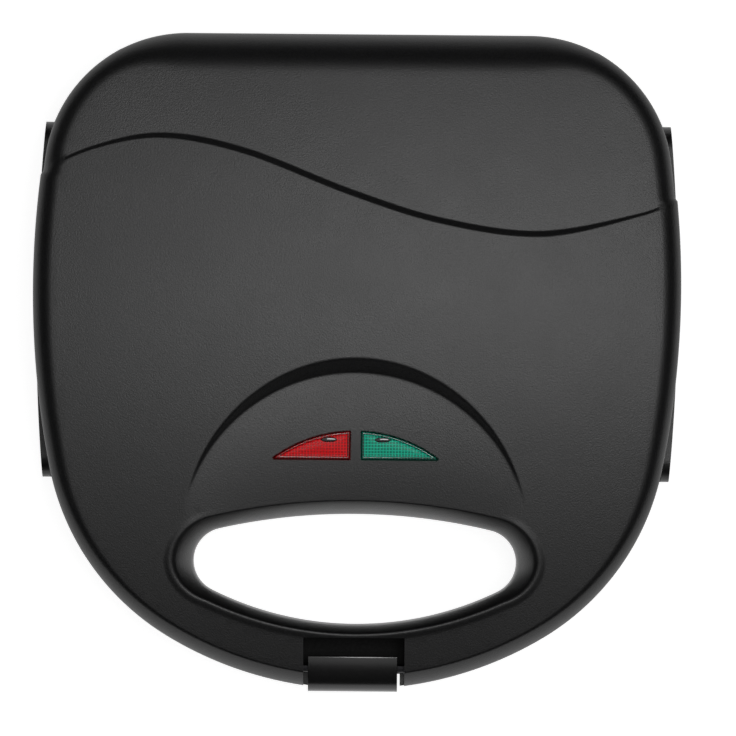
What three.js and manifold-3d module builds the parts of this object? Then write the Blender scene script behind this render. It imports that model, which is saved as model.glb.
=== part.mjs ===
// Contact grill: two ribbed plates in a hinged clamshell housing with a handle loop and a latch.
// Millimetres, +Z up. The hinge is at +Y, the handle at -Y, and the lid lies closed on the base.

import * as THREE from 'three';
import { mergeVertices } from 'three/addons/utils/BufferGeometryUtils.js';
import Module from 'manifold-3d';

const wasm = await Module();
wasm.setup();

// Driving dimensions

const body = { width: 234, depth: 237.6, wall: 2.2, partingGap: 0.6 };
const level = { floor: 5, parting: 45, lidRise: 42.5 };
const fit = { seat: 0.25, running: 0.4, pin: 0.1 };
const overrun = 2;
const hair = 0.05;
const slack = 0.02;
const routeTension = 0.25;

const rear = body.depth / 2;
const front = -body.depth / 2;
const halfWidth = body.width / 2;
const lidPeak = level.parting + level.lidRise;
const lidLow = level.parting + body.partingGap / 2;
const baseHigh = level.parting - body.partingGap / 2;

// Crown of the lid, and the belly of the base that rises under the handle

const crown = { peakShare: 0.2525, frontFall: 19.9, rearFall: 1.4, sideFall: 1.6 };
const belly = { startShare: 0.168, frontRise: 24.4, fillet: 6, taper: 5 };

const crownPeakY = crown.peakShare * rear;
const bellyStartY = belly.startShare * front;

// Outline of the housing and of the handle opening: tangent arcs from the front centre to the rear

const outlineForm = {
  radiusShares: [1.123, 0.784, 2.847, 0.449],
  turnShares: [0.174, 0.263, 0.109, 0.454],
  steps: [3, 4, 2, 6],
};
const openingForm = {
  radiusShares: [1.99, 0.204, 3.69],
  turnShares: [0.147, 0.78, 0.073],
  steps: [3, 6, 2],
};
const opening = { width: 116.6, depth: 39.7, frontBar: 23.7 };

// Rounding and draft of the handle opening at its rear, its ends and its front

const rim = {
  rearRound: 1.2,
  endRound: 2.5,
  frontRound: 7,
  rearDraft: 4.1,
  endDraft: 7.1,
  frontDraft: 1.2,
  baseRound: 3,
  baseDraft: 2,
};

// Lid: the front section stands above and outside the rear section behind a wave-shaped step

const section = {
  ledge: 1.3, standOut: 0.8, ramp: 2.4, taper: 1.6, frontFillet: 5.5,
  rearFillet: 12,
};
const wavePointShares = [
  [-1.1, 0.49], [-0.98, 0.567], [-0.81, 0.644], [-0.6, 0.681], [-0.345, 0.635],
  [-0.02, 0.513], [0.26, 0.429], [0.565, 0.392], [0.86, 0.45], [0.985, 0.499], [1.1, 0.54],
];
const waveSteps = 20;
const arch = { setback: 50.7, radius: 63.4, depth: 4.218, wallSlope: 36, steps: 28 };

// Indicator lenses: two halves of one arc segment with a bar between them

const lens = {
  radius: 50.3, rise: 43, height: 10.5, bar: 3.7, proud: 0.5, flange: 1.5,
  flangeThick: 1, steps: 12,
};

// Hinge, latch, and the ledge that the latch hooks under

const hinge = {
  setback: 4, troughRadius: 6, troughHalf: 86, knuckle: 3.6, pin: 1.6,
  ear: 4, barrel: 14, inset: 43.6, web: 5,
};
const latch = {
  notchWidth: 36.5, notchDepth: 19, cheek: 4, width: 32.2, depth: 12,
  proud: 0.6, thick: 3, drop: 1.2, round: 3.8, pin: 1.5, pinBack: 8.6,
  pinDown: 5.2, hook: 2.5, hookThick: 3, ledgeGap: 0.8, bite: 1.6,
};

// Plates, their posts, heaters and reflectors, measured from the rim of a plate

const plate = {
  sideMargin: 14, frontMargin: 11, rearMargin: 4, cornerGap: 44.7, flange: 2.5,
  rimGap: 0.5, lip: 5, bowl: 13, slope: 5, thick: 3,
};
const rib = { pitch: 10, width: 4, crest: 1.4, height: 2.5, endGap: 4 };
const post = { radius: 4.5, length: 7.9, bore: 1.75, boreDepth: 6 };
const lowerPostShares = [[-0.6, -0.4], [0.6, -0.4], [-0.6, 0.4], [0.6, 0.4]];
const upperPostShares = [[-0.437, 0], [0.437, 0]];
const screw = { radius: 1.5, head: 2.9, headThick: 1.5, bite: 8, sides: 8 };
const heater = {
  radius: 3.2, inset: 25, corner: 16, bend: 6, terminalX: 12, terminal: 10,
  sides: 6, steps: 44,
};
const saddle = { length: 8, thick: 2, height: 4.5, frontX: 34 };
const reflector = { thick: 0.6, margin: 13, edge: 3, corner: 14 };

// Inner frames, which close each half of the housing round its plate

const frame = { recess: 2, thick: 2, clearance: 0.5, draft: 1.4, boss: 3.6 };
const frameSpotShares = [[0.72, -0.5], [0.375, -0.86]];

// Feet, side rails, floor slots and cord inlet of the base

const foot = { radius: 9, stem: 4, stemLength: 1.6, insetX: 26, rearInset: 40, frontInset: 84.8 };
const rail = {
  radius: 730, apexInset: 0.6, apexShare: 0.168, frontShare: -0.362,
  rearShare: 0.724, thick: 3, low: 7, high: 31, shelfLow: 20,
  shelfReach: 9, steps: 10, corner: 8,
};
const slot = { count: 7, pitch: 9, width: 3, length: 34, yShare: 0.32 };
const inlet = {
  x: 6, z: 20, bore: 3.6, neck: 5, flange: 7, flangeThick: 1.6, pad: 9,
  padThick: 3.5, setback: 5,
};
const screwWell = { depth: 5, radius: 3.4 };

// Wiring and controls

const terminals = { width: 26, depth: 10, height: 11, x: 37, rearGap: 13, screwRadius: 1.8 };
const lead = { radius: 2, hole: 2.7, offset: 21, bend: 4, lean: 38, sides: 6, steps: 20 };
const heaterLead = { radius: 1.2, nearRun: 4, farRun: 6.8, steps: 14 };
const thermostat = {
  radius: 8.5, height: 9, window: 10.5, yShare: 0.35, tabLength: 5,
  tabWidth: 4, tabThick: 0.8, tabX: 5,
};
const fuse = { radius: 2.2, length: 24, yShare: -0.25, clipWidth: 5, clipThick: 1 };
const lamp = { radius: 2.4, length: 11, x: 10.5, rise: 37.7, drop: 6.6 };
const holder = {
  width: 54, lowRise: 32.1, highRise: 48.6, thick: 1.4, cradle: 1.6,
  postX: 22.5, postRise: 44.9, post: 2.6,
};

// Surfaces of the housing

function lidTop(x, y) {
  const frontShare = Math.max(0, (crownPeakY - y) / (crownPeakY - front));
  const rearShare = Math.max(0, (y - crownPeakY) / (rear - crownPeakY));
  const sideShare = x / halfWidth;
  const fall = crown.frontFall * frontShare ** 2 + crown.rearFall * rearShare ** 2;
  return lidPeak - fall - crown.sideFall * sideShare ** 2;
}

function baseBottom(x, y) {
  const frontShare = Math.max(0, (bellyStartY - y) / (bellyStartY - front));
  return level.floor + belly.frontRise * frontShare ** 2;
}

function smooth(value, low, high) {
  const share = Math.min(1, Math.max(0, (value - low) / (high - low)));
  return share * share * (3 - 2 * share);
}

// Loops of points with outward normals, anticlockwise, symmetric about x = 0

function arcLoop(form, width, depth, frontY) {
  const right = [{ x: 0, y: 0, heading: 0 }];
  let heading = 0;
  form.radiusShares.forEach((radius, index) => {
    const start = right[right.length - 1];
    const centreX = start.x - radius * Math.sin(heading);
    const centreY = start.y + radius * Math.cos(heading);
    const turn = form.turnShares[index] * Math.PI;
    for (let step = 1; step <= form.steps[index]; step += 1) {
      const angle = heading + (turn * step) / form.steps[index];
      const x = centreX + radius * Math.sin(angle);
      const y = centreY - radius * Math.cos(angle);
      right.push({ x, y, heading: angle });
    }
    heading += turn;
  });
  const scaleX = width / 2 / Math.max(...right.map((point) => point.x));
  const scaleY = depth / right[right.length - 1].y;
  const sided = right.map((point) => {
    const normal = new THREE.Vector2(scaleY * Math.sin(point.heading), -scaleX * Math.cos(point.heading));
    normal.normalize();
    return { x: point.x * scaleX, y: frontY + point.y * scaleY, nx: normal.x, ny: normal.y };
  });
  const mirrored = sided.slice(1).reverse().map((point) => ({ ...point, x: -point.x, nx: -point.nx }));
  const last = sided[sided.length - 1];
  return sided.concat(last.x > hair ? mirrored : mirrored.slice(1));
}

function roundedLoop(halfX, lowY, highY, corner, steps = 6) {
  const quarters = [[1, 0, -90], [1, 1, 0], [0, 1, 90], [0, 0, 180]];
  return quarters.flatMap(([isRight, isRear, startAngle]) => {
    const centreX = isRight ? halfX - corner : corner - halfX;
    const centreY = isRear ? highY - corner : lowY + corner;
    return Array.from({ length: steps + 1 }, (unused, step) => {
      const angle = THREE.MathUtils.degToRad(startAngle + (90 * step) / steps);
      const nx = Math.cos(angle);
      const ny = Math.sin(angle);
      return { x: centreX + corner * nx, y: centreY + corner * ny, nx, ny };
    });
  });
}

function circleLoop(x, y, radius, steps) {
  return Array.from({ length: steps }, (unused, step) => {
    const angle = (2 * Math.PI * step) / steps;
    const nx = Math.cos(angle);
    const ny = Math.sin(angle);
    return { x: x + radius * nx, y: y + radius * ny, nx, ny };
  });
}

const outlineLoop = arcLoop(outlineForm, body.width, body.depth, front);
const openingLoop = arcLoop(openingForm, opening.width, opening.depth, front + opening.frontBar);
const openingRimY = front + opening.frontBar + opening.depth + rim.rearDraft + rim.rearRound;

// The last arc of the outline is the rounded rear corner, which the plates' corners follow
const cornerEnd = outlineForm.steps.reduce((sum, count) => sum + count);
const cornerStart = cornerEnd - outlineForm.steps[outlineForm.steps.length - 1];
const cornerChord = Math.hypot(
  outlineLoop[cornerEnd].x - outlineLoop[cornerStart].x,
  outlineLoop[cornerEnd].y - outlineLoop[cornerStart].y,
);
const plateCorner = cornerChord - plate.cornerGap;

// Places worked out from the driving dimensions

const hingeY = rear - hinge.setback;
const hingeSpan = 2 * hinge.ear + 2 * fit.running + hinge.barrel;
const archY = front + arch.setback;
const archFloor = lidTop(0, archY + arch.radius) - arch.depth;
const lensTopY = archY + lens.rise;
const lampY = archY + lamp.rise;
const latchPinY = front - latch.proud + latch.pinBack;
const latchTop = lidTop(0, front + latch.depth / 2) - latch.drop;
const latchPinZ = latchTop - latch.pinDown;
const latchPinHalf = latch.notchWidth / 2 + latch.cheek;
const ledgeY = front - latch.proud + latch.thick + latch.hook + latch.ledgeGap;

const plateArea = {
  halfX: halfWidth - plate.sideMargin,
  lowY: openingRimY + plate.frontMargin,
  highY: hingeY - hinge.troughRadius - body.wall - plate.rearMargin,
};
const plateMiddleY = (plateArea.lowY + plateArea.highY) / 2;
const plateHalfY = (plateArea.highY - plateArea.lowY) / 2;
const upperRim = level.parting + plate.rimGap / 2;
const lowerRim = level.parting - plate.rimGap / 2;

const below = {};
below.floorUnder = plate.bowl + plate.thick;
below.heater = below.floorUnder + fit.seat + heater.radius;
below.postEnd = below.floorUnder + post.length;
below.reflectorTop = below.postEnd + fit.seat;
below.reflectorUnder = below.reflectorTop + reflector.thick;
below.boss = below.reflectorUnder + fit.seat;

const frameFace = frame.recess;
const frameBack = frame.recess + frame.thick;
const frameBossFace = frameBack + fit.seat;
const panelUnder = archFloor - body.wall;
const lampZ = archFloor - lamp.drop;
const holderTopZ = lampZ - lamp.radius - fit.seat;

function plateSpot([xShare, yShare]) {
  return [xShare * plateArea.halfX, plateMiddleY + yShare * plateHalfY];
}

const frameSpots = frameSpotShares.flatMap(
  ([x, y]) => [1, -1].map((side) => [side * x * halfWidth, y * rear]),
);
const upperPosts = upperPostShares.map(plateSpot);
const lowerPosts = lowerPostShares.map(plateSpot);

// Booleans

function geometryFrom(positions, indices) {
  const geometry = new THREE.BufferGeometry();
  geometry.setAttribute('position', new THREE.Float32BufferAttribute(positions, 3));
  geometry.setIndex(indices);
  return geometry;
}

function solidOf(geometry) {
  const bare = geometry.clone();
  bare.deleteAttribute('normal');
  bare.deleteAttribute('uv');
  const merged = mergeVertices(bare, 1e-4);
  return new wasm.Manifold(new wasm.Mesh({
    numProp: 3,
    vertProperties: new Float32Array(merged.attributes.position.array),
    triVerts: new Uint32Array(merged.index.array),
  }));
}

function geometryOf(solid) {
  const mesh = solid.simplify(slack).getMesh();
  return geometryFrom(mesh.vertProperties, Array.from(mesh.triVerts));
}

function join(first, ...others) {
  return geometryOf(others.reduce((sum, other) => sum.add(solidOf(other)), solidOf(first)));
}

function cut(first, ...others) {
  return geometryOf(others.reduce((rest, other) => rest.subtract(solidOf(other)), solidOf(first)));
}

function common(first, second) {
  return geometryOf(solidOf(first).intersect(solidOf(second)));
}

// Simple solids

// A ring of points: the loop drawn in by an inset, at a height
function ring(loop, insetOf, heightOf) {
  return loop.map((point) => {
    const inset = insetOf(point);
    const x = point.x - point.nx * inset;
    const y = point.y - point.ny * inset;
    return new THREE.Vector3(x, y, heightOf(x, y, point));
  });
}

// The outermost ring drawn in towards its middle, to follow a crowned surface
function crownRings(outermost, shares, heightOf) {
  const middle = outermost.reduce((sum, point) => sum.add(point), new THREE.Vector3());
  middle.divideScalar(outermost.length);
  return shares.map((share) => outermost.map((point) => {
    const x = THREE.MathUtils.lerp(middle.x, point.x, share);
    const y = THREE.MathUtils.lerp(middle.y, point.y, share);
    return new THREE.Vector3(x, y, heightOf(x, y));
  }));
}

// Joins anticlockwise rings, from the lowest up, into one closed solid
function loft(rings) {
  const count = rings[0].length;
  const positions = rings.flat().flatMap((point) => [point.x, point.y, point.z]);
  const indices = [];
  for (let row = 0; row < rings.length - 1; row += 1) {
    for (let step = 0; step < count; step += 1) {
      const a = row * count + step;
      const b = row * count + ((step + 1) % count);
      indices.push(a, b, b + count, a, b + count, a + count);
    }
  }
  const lastStart = (rings.length - 1) * count;
  const addEnd = (points, offset, facesDown) => {
    const outline = points.map((point) => new THREE.Vector2(point.x, point.y));
    THREE.ShapeUtils.triangulateShape(outline, []).forEach(([a, b, c]) => {
      const face = facesDown ? [a, c, b] : [a, b, c];
      indices.push(...face.map((corner) => corner + offset));
    });
  };
  addEnd(rings[0], 0, true);
  addEnd(rings[rings.length - 1], lastStart, false);
  return geometryFrom(positions, indices);
}

function slab(loop, inset, lowZ, highZ) {
  return loft([lowZ, highZ].map((z) => ring(loop, () => inset, () => z)));
}

function box(lowX, highX, lowY, highY, lowZ, highZ) {
  const geometry = new THREE.BoxGeometry(highX - lowX, highY - lowY, highZ - lowZ);
  return geometry.translate((lowX + highX) / 2, (lowY + highY) / 2, (lowZ + highZ) / 2);
}

function rodX(lowX, highX, y, z, radius, sides = 16) {
  const geometry = new THREE.CylinderGeometry(radius, radius, highX - lowX, sides);
  return geometry.rotateZ(Math.PI / 2).translate((lowX + highX) / 2, y, z);
}

function rodZ(x, y, radius, lowZ, highZ, sides = 12) {
  const geometry = new THREE.CylinderGeometry(radius, radius, highZ - lowZ, sides);
  return geometry.rotateX(Math.PI / 2).translate(x, y, (lowZ + highZ) / 2);
}

// A profile of [y, z] points, anticlockwise seen from +X, extruded along X
function slabX(points, lowX, highX) {
  const shape = new THREE.Shape(points.map(([y, z]) => new THREE.Vector2(y, z)));
  const geometry = new THREE.ExtrudeGeometry(shape, { depth: highX - lowX, bevelEnabled: false });
  const axisX = new THREE.Vector3(0, 1, 0);
  const axisY = new THREE.Vector3(0, 0, 1);
  const axisZ = new THREE.Vector3(1, 0, 0);
  return geometry.applyMatrix4(new THREE.Matrix4().makeBasis(axisX, axisY, axisZ)).translate(lowX, 0, 0);
}

// A turned piece of [radius, z] points about the Z axis
function turned(points, sides) {
  const profile = points.map(([radius, z]) => new THREE.Vector2(radius, z));
  return new THREE.LatheGeometry(profile, sides).rotateX(Math.PI / 2);
}

function tube(points, radius, sides, steps) {
  const route = new THREE.CatmullRomCurve3(points, false, 'catmullrom', routeTension);
  const outline = circleLoop(0, 0, radius, sides).map(({ x, y }) => new THREE.Vector2(x, y));
  const settings = { extrudePath: route, steps, bevelEnabled: false };
  return new THREE.ExtrudeGeometry(new THREE.Shape(outline), settings);
}

function screwSolid(length, sides = screw.sides) {
  return turned([
    [0, 0], [screw.head, 0], [screw.head, screw.headThick], [screw.radius, screw.headThick],
    [screw.radius, length], [0, length],
  ], sides);
}

// Lid cover

// Outer surfaces are rounded in several steps, and the hollows behind them in fewer
const fine = { angles: [0, 30, 60, 90].map(THREE.MathUtils.degToRad), crownShares: [0.7, 0.35] };
const plain = { angles: [0, 90].map(THREE.MathUtils.degToRad), crownShares: [0.65, 0.35] };

// One section of the lid as a full solid, drawn in by an inset and lowered by a drop
function lidForm(inset, drop, filletOf, lowZ, detail = fine) {
  const rings = [ring(outlineLoop, () => inset, () => lowZ)];
  detail.angles.forEach((angle) => {
    rings.push(ring(
      outlineLoop,
      (point) => inset + section.taper + filletOf(point) * (1 - Math.cos(angle)),
      (x, y, point) => lidTop(x, y) - drop - filletOf(point) * (1 - Math.sin(angle)),
    ));
  });
  const outermost = rings[rings.length - 1];
  return loft(rings.concat(crownRings(outermost, detail.crownShares, (x, y) => lidTop(x, y) - drop)));
}

function rearFillet(point) {
  return THREE.MathUtils.lerp(section.frontFillet, section.rearFillet, smooth(point.y, 0, rear));
}

// Everything in front of the wave-shaped step, whose face leans forward as it rises
function waveRegion() {
  const curve = new THREE.SplineCurve(
    wavePointShares.map(([x, y]) => new THREE.Vector2(x * halfWidth, y * rear)),
  );
  const wave = curve.getPoints(waveSteps).reverse();
  const farY = front - body.wall;
  const region = (shift, heightOf) => {
    const edge = wave.map((point) => new THREE.Vector3(point.x, point.y - shift, heightOf(point.x, point.y)));
    const corners = [edge[edge.length - 1], edge[0]].map(
      ({ x }) => new THREE.Vector3(x, farY, heightOf(x, farY)),
    );
    return [...corners, ...edge];
  };
  const rise = (section.ledge + overrun) / section.ledge;
  return loft([
    region(-section.ramp / 2, () => level.parting - overrun),
    region(-section.ramp / 2, (x, y) => lidTop(x, y) - section.ledge),
    region(section.ramp * (rise - 1 / 2), (x, y) => lidTop(x, y) + overrun),
  ]);
}

// The sunk arch: a level floor and a leaning round wall that dies out where the crown falls to it
function archCutter(grow) {
  const slope = Math.tan(THREE.MathUtils.degToRad(arch.wallSlope));
  const rise = lidPeak + overrun - archFloor;
  const circle = circleLoop(0, archY, arch.radius + grow, arch.steps);
  return loft([
    ring(circle, () => 0, () => archFloor - grow),
    ring(circle, () => -rise / slope, () => archFloor - grow + rise),
  ]);
}

// A value that varies round the handle opening with the direction that its edge faces
function roundRim(point, rearValue, endValue, frontValue) {
  const tilt = (rearValue - frontValue) / 2;
  const bend = (rearValue + frontValue) / 2 - endValue;
  return endValue + tilt * point.ny + bend * point.ny ** 2;
}

// The handle opening in the lid, flared and rounded at the top; grow adds the thickness of its wall
function lidOpening(grow, detail = fine) {
  const roundOf = (point) => roundRim(point, rim.rearRound, rim.endRound, rim.frontRound);
  const draftOf = (point) => roundRim(point, rim.rearDraft, rim.endDraft, rim.frontDraft);
  const rings = [ring(openingLoop, () => -grow, () => level.parting - overrun)];
  detail.angles.forEach((angle) => {
    rings.push(ring(
      openingLoop,
      (point) => -grow - draftOf(point) - roundOf(point) * (1 - Math.cos(angle)),
      (x, y, point) => lidTop(x, y) - roundOf(point) * (1 - Math.sin(angle)),
    ));
  });
  const lift = new THREE.Vector3(0, 0, overrun + grow);
  rings.push(rings[rings.length - 1].map((point) => point.clone().add(lift)));
  return loft(rings);
}

function notch(sideGrow, backY) {
  const half = latch.notchWidth / 2 + sideGrow;
  return box(-half, half, front - overrun, backY, 0, lidPeak + overrun);
}

function trough(grow) {
  const half = hinge.troughHalf + grow;
  return rodX(-half, half, hingeY, level.parting, hinge.troughRadius + grow, 16);
}

// The web between a knuckle and the trough wall, leaning forward: up for the lid, down for the base
function web(lowX, highX, sign) {
  const half = hinge.web / 2;
  const reach = hinge.troughRadius + body.wall;
  const profile = [[half, half], [-half, -half], [-half - reach, reach - half], [half - reach, reach + half]];
  const points = profile.map(([y, z]) => [hingeY + y, level.parting + sign * z]);
  const strip = slabX(sign > 0 ? points.reverse() : points, lowX, highX);
  const limit = rodX(lowX - overrun, highX + overrun, hingeY, level.parting, reach - body.wall / 2, 16);
  return common(strip, limit);
}

function knuckle(lowX, highX, sign) {
  return join(rodX(lowX, highX, hingeY, level.parting, hinge.knuckle, 12), web(lowX, highX, sign));
}

function lidKnuckles() {
  const low = hinge.inset + hinge.ear + fit.running;
  const high = low + hinge.barrel;
  return [knuckle(low, high, 1), knuckle(-high, -low, 1)];
}

function baseEars() {
  const starts = [hinge.inset, hinge.inset + hingeSpan - hinge.ear];
  return starts.flatMap((low) => [knuckle(low, low + hinge.ear, -1), knuckle(-low - hinge.ear, -low, -1)]);
}

function hingeBores() {
  const low = hinge.inset - overrun;
  const high = hinge.inset + hingeSpan + overrun;
  const radius = hinge.pin + fit.pin;
  return [
    rodX(low, high, hingeY, level.parting, radius, 12),
    rodX(-high, -low, hingeY, level.parting, radius, 12),
  ];
}

// Direction from the hinge axis in which a lead leaves the trough
function leadWay(sign) {
  const lean = THREE.MathUtils.degToRad(lead.lean);
  return new THREE.Vector3(0, -Math.sin(lean), sign * Math.cos(lean));
}

function leadHole(sign) {
  const length = 2 * (hinge.troughRadius + body.wall);
  const geometry = new THREE.CylinderGeometry(lead.hole, lead.hole, length, 12);
  const turn = new THREE.Quaternion().setFromUnitVectors(new THREE.Vector3(0, 1, 0), leadWay(sign));
  geometry.translate(0, length / 2, 0).applyQuaternion(turn);
  return geometry.translate(-sign * lead.offset, hingeY, level.parting);
}

function lensLoop(side, grow) {
  const centreY = lensTopY - lens.radius;
  const baseY = lensTopY - lens.height - grow;
  const inner = lens.bar / 2 - grow;
  const radius = lens.radius + grow;
  const startAngle = Math.asin((baseY - centreY) / radius);
  const endAngle = Math.acos(inner / radius);
  const points = [{ x: inner, y: baseY }];
  for (let step = 0; step <= lens.steps; step += 1) {
    const angle = THREE.MathUtils.lerp(startAngle, endAngle, step / lens.steps);
    points.push({ x: radius * Math.cos(angle), y: centreY + radius * Math.sin(angle) });
  }
  return side > 0 ? points : points.map(({ x, y }) => ({ x: -x, y })).reverse();
}

function lensSlab(side, grow, lowZ, highZ) {
  const loop = lensLoop(side, grow);
  return loft([lowZ, highZ].map((z) => loop.map(({ x, y }) => new THREE.Vector3(x, y, z))));
}

function lidOuter() {
  const rearSection = lidForm(section.standOut, section.ledge, rearFillet, lidLow);
  const frontSection = lidForm(0, 0, () => section.frontFillet, lidLow);
  return cut(
    join(rearSection, common(frontSection, waveRegion())),
    archCutter(0),
    lidOpening(0),
    notch(0, front + latch.notchDepth),
    trough(0),
  );
}

function lidCavity() {
  const wall = body.wall;
  const filletOf = (point) => rearFillet(point) - wall;
  return cut(
    lidForm(section.standOut + wall, section.ledge + wall, filletOf, lidLow - overrun, plain),
    archCutter(wall),
    lidOpening(wall, plain),
    notch(latch.cheek, front + latch.notchDepth + wall),
    trough(wall),
  );
}

function lidCover() {
  const outer = lidOuter();
  const frameBossZ = level.parting + frameBossFace;
  const plateBossZ = upperRim + below.boss;
  const holderBossZ = holderTopZ + holder.thick + fit.seat;
  const holderY = archY + holder.postRise;
  const bosses = [
    ...frameSpots.map(([x, y]) => rodZ(x, y, frame.boss, frameBossZ, lidPeak)),
    ...upperPosts.map(([x, y]) => rodZ(x, y, post.radius, plateBossZ, lidPeak)),
    rodZ(holder.postX, holderY, holder.post, holderBossZ, lidPeak),
    rodZ(-holder.postX, holderY, holder.post, holderBossZ, lidPeak),
  ];
  const bore = screw.radius + fit.pin;
  const shell = join(cut(outer, lidCavity()), common(join(...bosses), outer), ...lidKnuckles());
  return cut(
    shell,
    ...frameSpots.map(([x, y]) => rodZ(x, y, bore, frameBossZ - overrun, frameBossZ + screw.bite)),
    ...upperPosts.map(([x, y]) => rodZ(x, y, bore, plateBossZ - overrun, plateBossZ + screw.bite)),
    ...hingeBores(),
    leadHole(1),
    rodX(-latchPinHalf, latchPinHalf, latchPinY, latchPinZ, latch.pin + fit.pin, 12),
    lensSlab(1, fit.seat, panelUnder - overrun, lidPeak),
    lensSlab(-1, fit.seat, panelUnder - overrun, lidPeak),
  );
}

// Base housing

const baseInset = body.partingGap / 2;

function baseForm(grow, topZ, detail = fine) {
  const fillet = belly.fillet - grow;
  const bottomOf = (x, y) => baseBottom(x, y) + grow;
  const rings = [...detail.angles].reverse().map((angle) => ring(
    outlineLoop,
    () => baseInset + grow + belly.taper + fillet * (1 - Math.cos(angle)),
    (x, y) => bottomOf(x, y) + fillet * (1 - Math.sin(angle)),
  ));
  const inner = crownRings(rings[0], [...detail.crownShares].reverse(), bottomOf);
  rings.push(ring(outlineLoop, () => baseInset + grow, () => topZ));
  return loft([...inner, ...rings]);
}

function baseOpening(grow, detail = fine) {
  const outermost = rim.baseDraft + rim.baseRound + grow;
  const rings = [ring(openingLoop, () => -outermost, (x, y) => baseBottom(x, y) - overrun)];
  [...detail.angles].reverse().forEach((angle) => {
    rings.push(ring(
      openingLoop,
      () => -grow - rim.baseDraft - rim.baseRound * (1 - Math.cos(angle)),
      (x, y) => baseBottom(x, y) + rim.baseRound * (1 - Math.sin(angle)),
    ));
  });
  rings.push(ring(openingLoop, () => -grow - fit.running, () => baseHigh + overrun));
  return loft(rings);
}

// A straight rail down each side, with a shelf that ties it to the wall of the base
function sideRail(side) {
  const centreX = halfWidth - rail.apexInset - rail.radius;
  const arc = (radius, extra) => Array.from({ length: rail.steps + 1 }, (unused, step) => {
    const y = THREE.MathUtils.lerp(rail.frontShare * rear, rail.rearShare * rear, step / rail.steps);
    const x = centreX + Math.sqrt(radius ** 2 - (y - rail.apexShare * rear) ** 2) - extra;
    return new THREE.Vector3(side * x, y, 0);
  });
  const strip = (depth, lowZ, highZ) => {
    const points = [...arc(rail.radius, 0), ...arc(rail.radius, depth).reverse()];
    const loop = side > 0 ? points : points.reverse();
    return loft([lowZ, highZ].map((z) => loop.map(({ x, y }) => new THREE.Vector3(x, y, z))));
  };
  const middleY = (rail.frontShare * rear + rail.rearShare * rear) / 2;
  const corners = roundedLoop(rail.rearShare * rear - middleY, rail.low, rail.high, rail.corner, 4);
  const outline = corners.map((point) => [middleY + point.x, point.y]);
  return join(
    common(strip(rail.thick, rail.low, rail.high), slabX(outline, -halfWidth - overrun, halfWidth + overrun)),
    strip(rail.shelfReach, rail.shelfLow, rail.shelfLow + rail.thick),
  );
}

const footSpots = [
  { name: 'rear_right', x: halfWidth - foot.insetX, y: rear - foot.rearInset },
  { name: 'rear_left', x: foot.insetX - halfWidth, y: rear - foot.rearInset },
  { name: 'front_right', x: halfWidth - foot.insetX, y: front + foot.frontInset },
  { name: 'front_left', x: foot.insetX - halfWidth, y: front + foot.frontInset },
];

const inletY = rear - inlet.setback;

function inletPad() {
  const { x, z, pad, padThick } = inlet;
  return box(x - pad, x + pad, inletY - padThick, inletY, z - pad, z + pad);
}

function inletRecess() {
  const { x, z, pad } = inlet;
  return box(x - pad, x + pad, inletY, rear + overrun, z - pad, z + pad);
}

function rodY(x, lowY, highY, z, radius, sides = 16) {
  const geometry = new THREE.CylinderGeometry(radius, radius, highY - lowY, sides);
  return geometry.translate(x, (lowY + highY) / 2, z);
}

function floorSlots() {
  const middle = (slot.count - 1) / 2;
  return Array.from({ length: slot.count }, (unused, index) => {
    const x = (index - middle) * slot.pitch;
    const half = slot.width / 2;
    const lowY = slot.yShare * rear - slot.length / 2;
    return box(x - half, x + half, lowY, lowY + slot.length, 0, level.floor + body.wall + overrun);
  });
}

const wellTop = level.floor + screwWell.depth;

function baseHousing() {
  const wall = body.wall;
  const outer = cut(
    baseForm(0, baseHigh),
    baseOpening(0),
    notch(0, ledgeY),
    trough(0),
    inletRecess(),
  );
  const cavity = cut(
    baseForm(wall, baseHigh + overrun, plain),
    baseOpening(wall, plain),
    notch(wall, ledgeY + wall),
    trough(wall),
  );
  const frameBossZ = level.parting - frameBossFace;
  const plateBossZ = lowerRim - below.boss;
  const bosses = [
    ...frameSpots.map(([x, y]) => rodZ(x, y, frame.boss, 0, frameBossZ)),
    ...lowerPosts.map(([x, y]) => rodZ(x, y, post.radius, 0, plateBossZ)),
    inletPad(),
  ];
  const rails = cut(join(sideRail(1), sideRail(-1)), baseForm(wall, baseHigh + overrun, plain));
  const bore = screw.radius + fit.pin;
  const shell = join(cut(outer, cavity), common(join(...bosses), outer), rails, ...baseEars());
  return cut(
    shell,
    ...frameSpots.map(([x, y]) => rodZ(x, y, bore, frameBossZ - screw.bite, frameBossZ + overrun)),
    ...lowerPosts.map(([x, y]) => rodZ(x, y, screwWell.radius, 0, wellTop)),
    ...lowerPosts.map(([x, y]) => rodZ(x, y, bore, 0, plateBossZ + overrun)),
    ...hingeBores(),
    leadHole(-1),
    ...footSpots.map(({ x, y }) => rodZ(x, y, foot.stem + fit.seat, 0, level.floor + wall + overrun)),
    ...floorSlots(),
    rodY(inlet.x, inletY - 2 * inlet.padThick, rear + overrun, inlet.z, inlet.neck + fit.seat),
  );
}

// Inner frame of one half, lying at a distance from the parting plane

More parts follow.
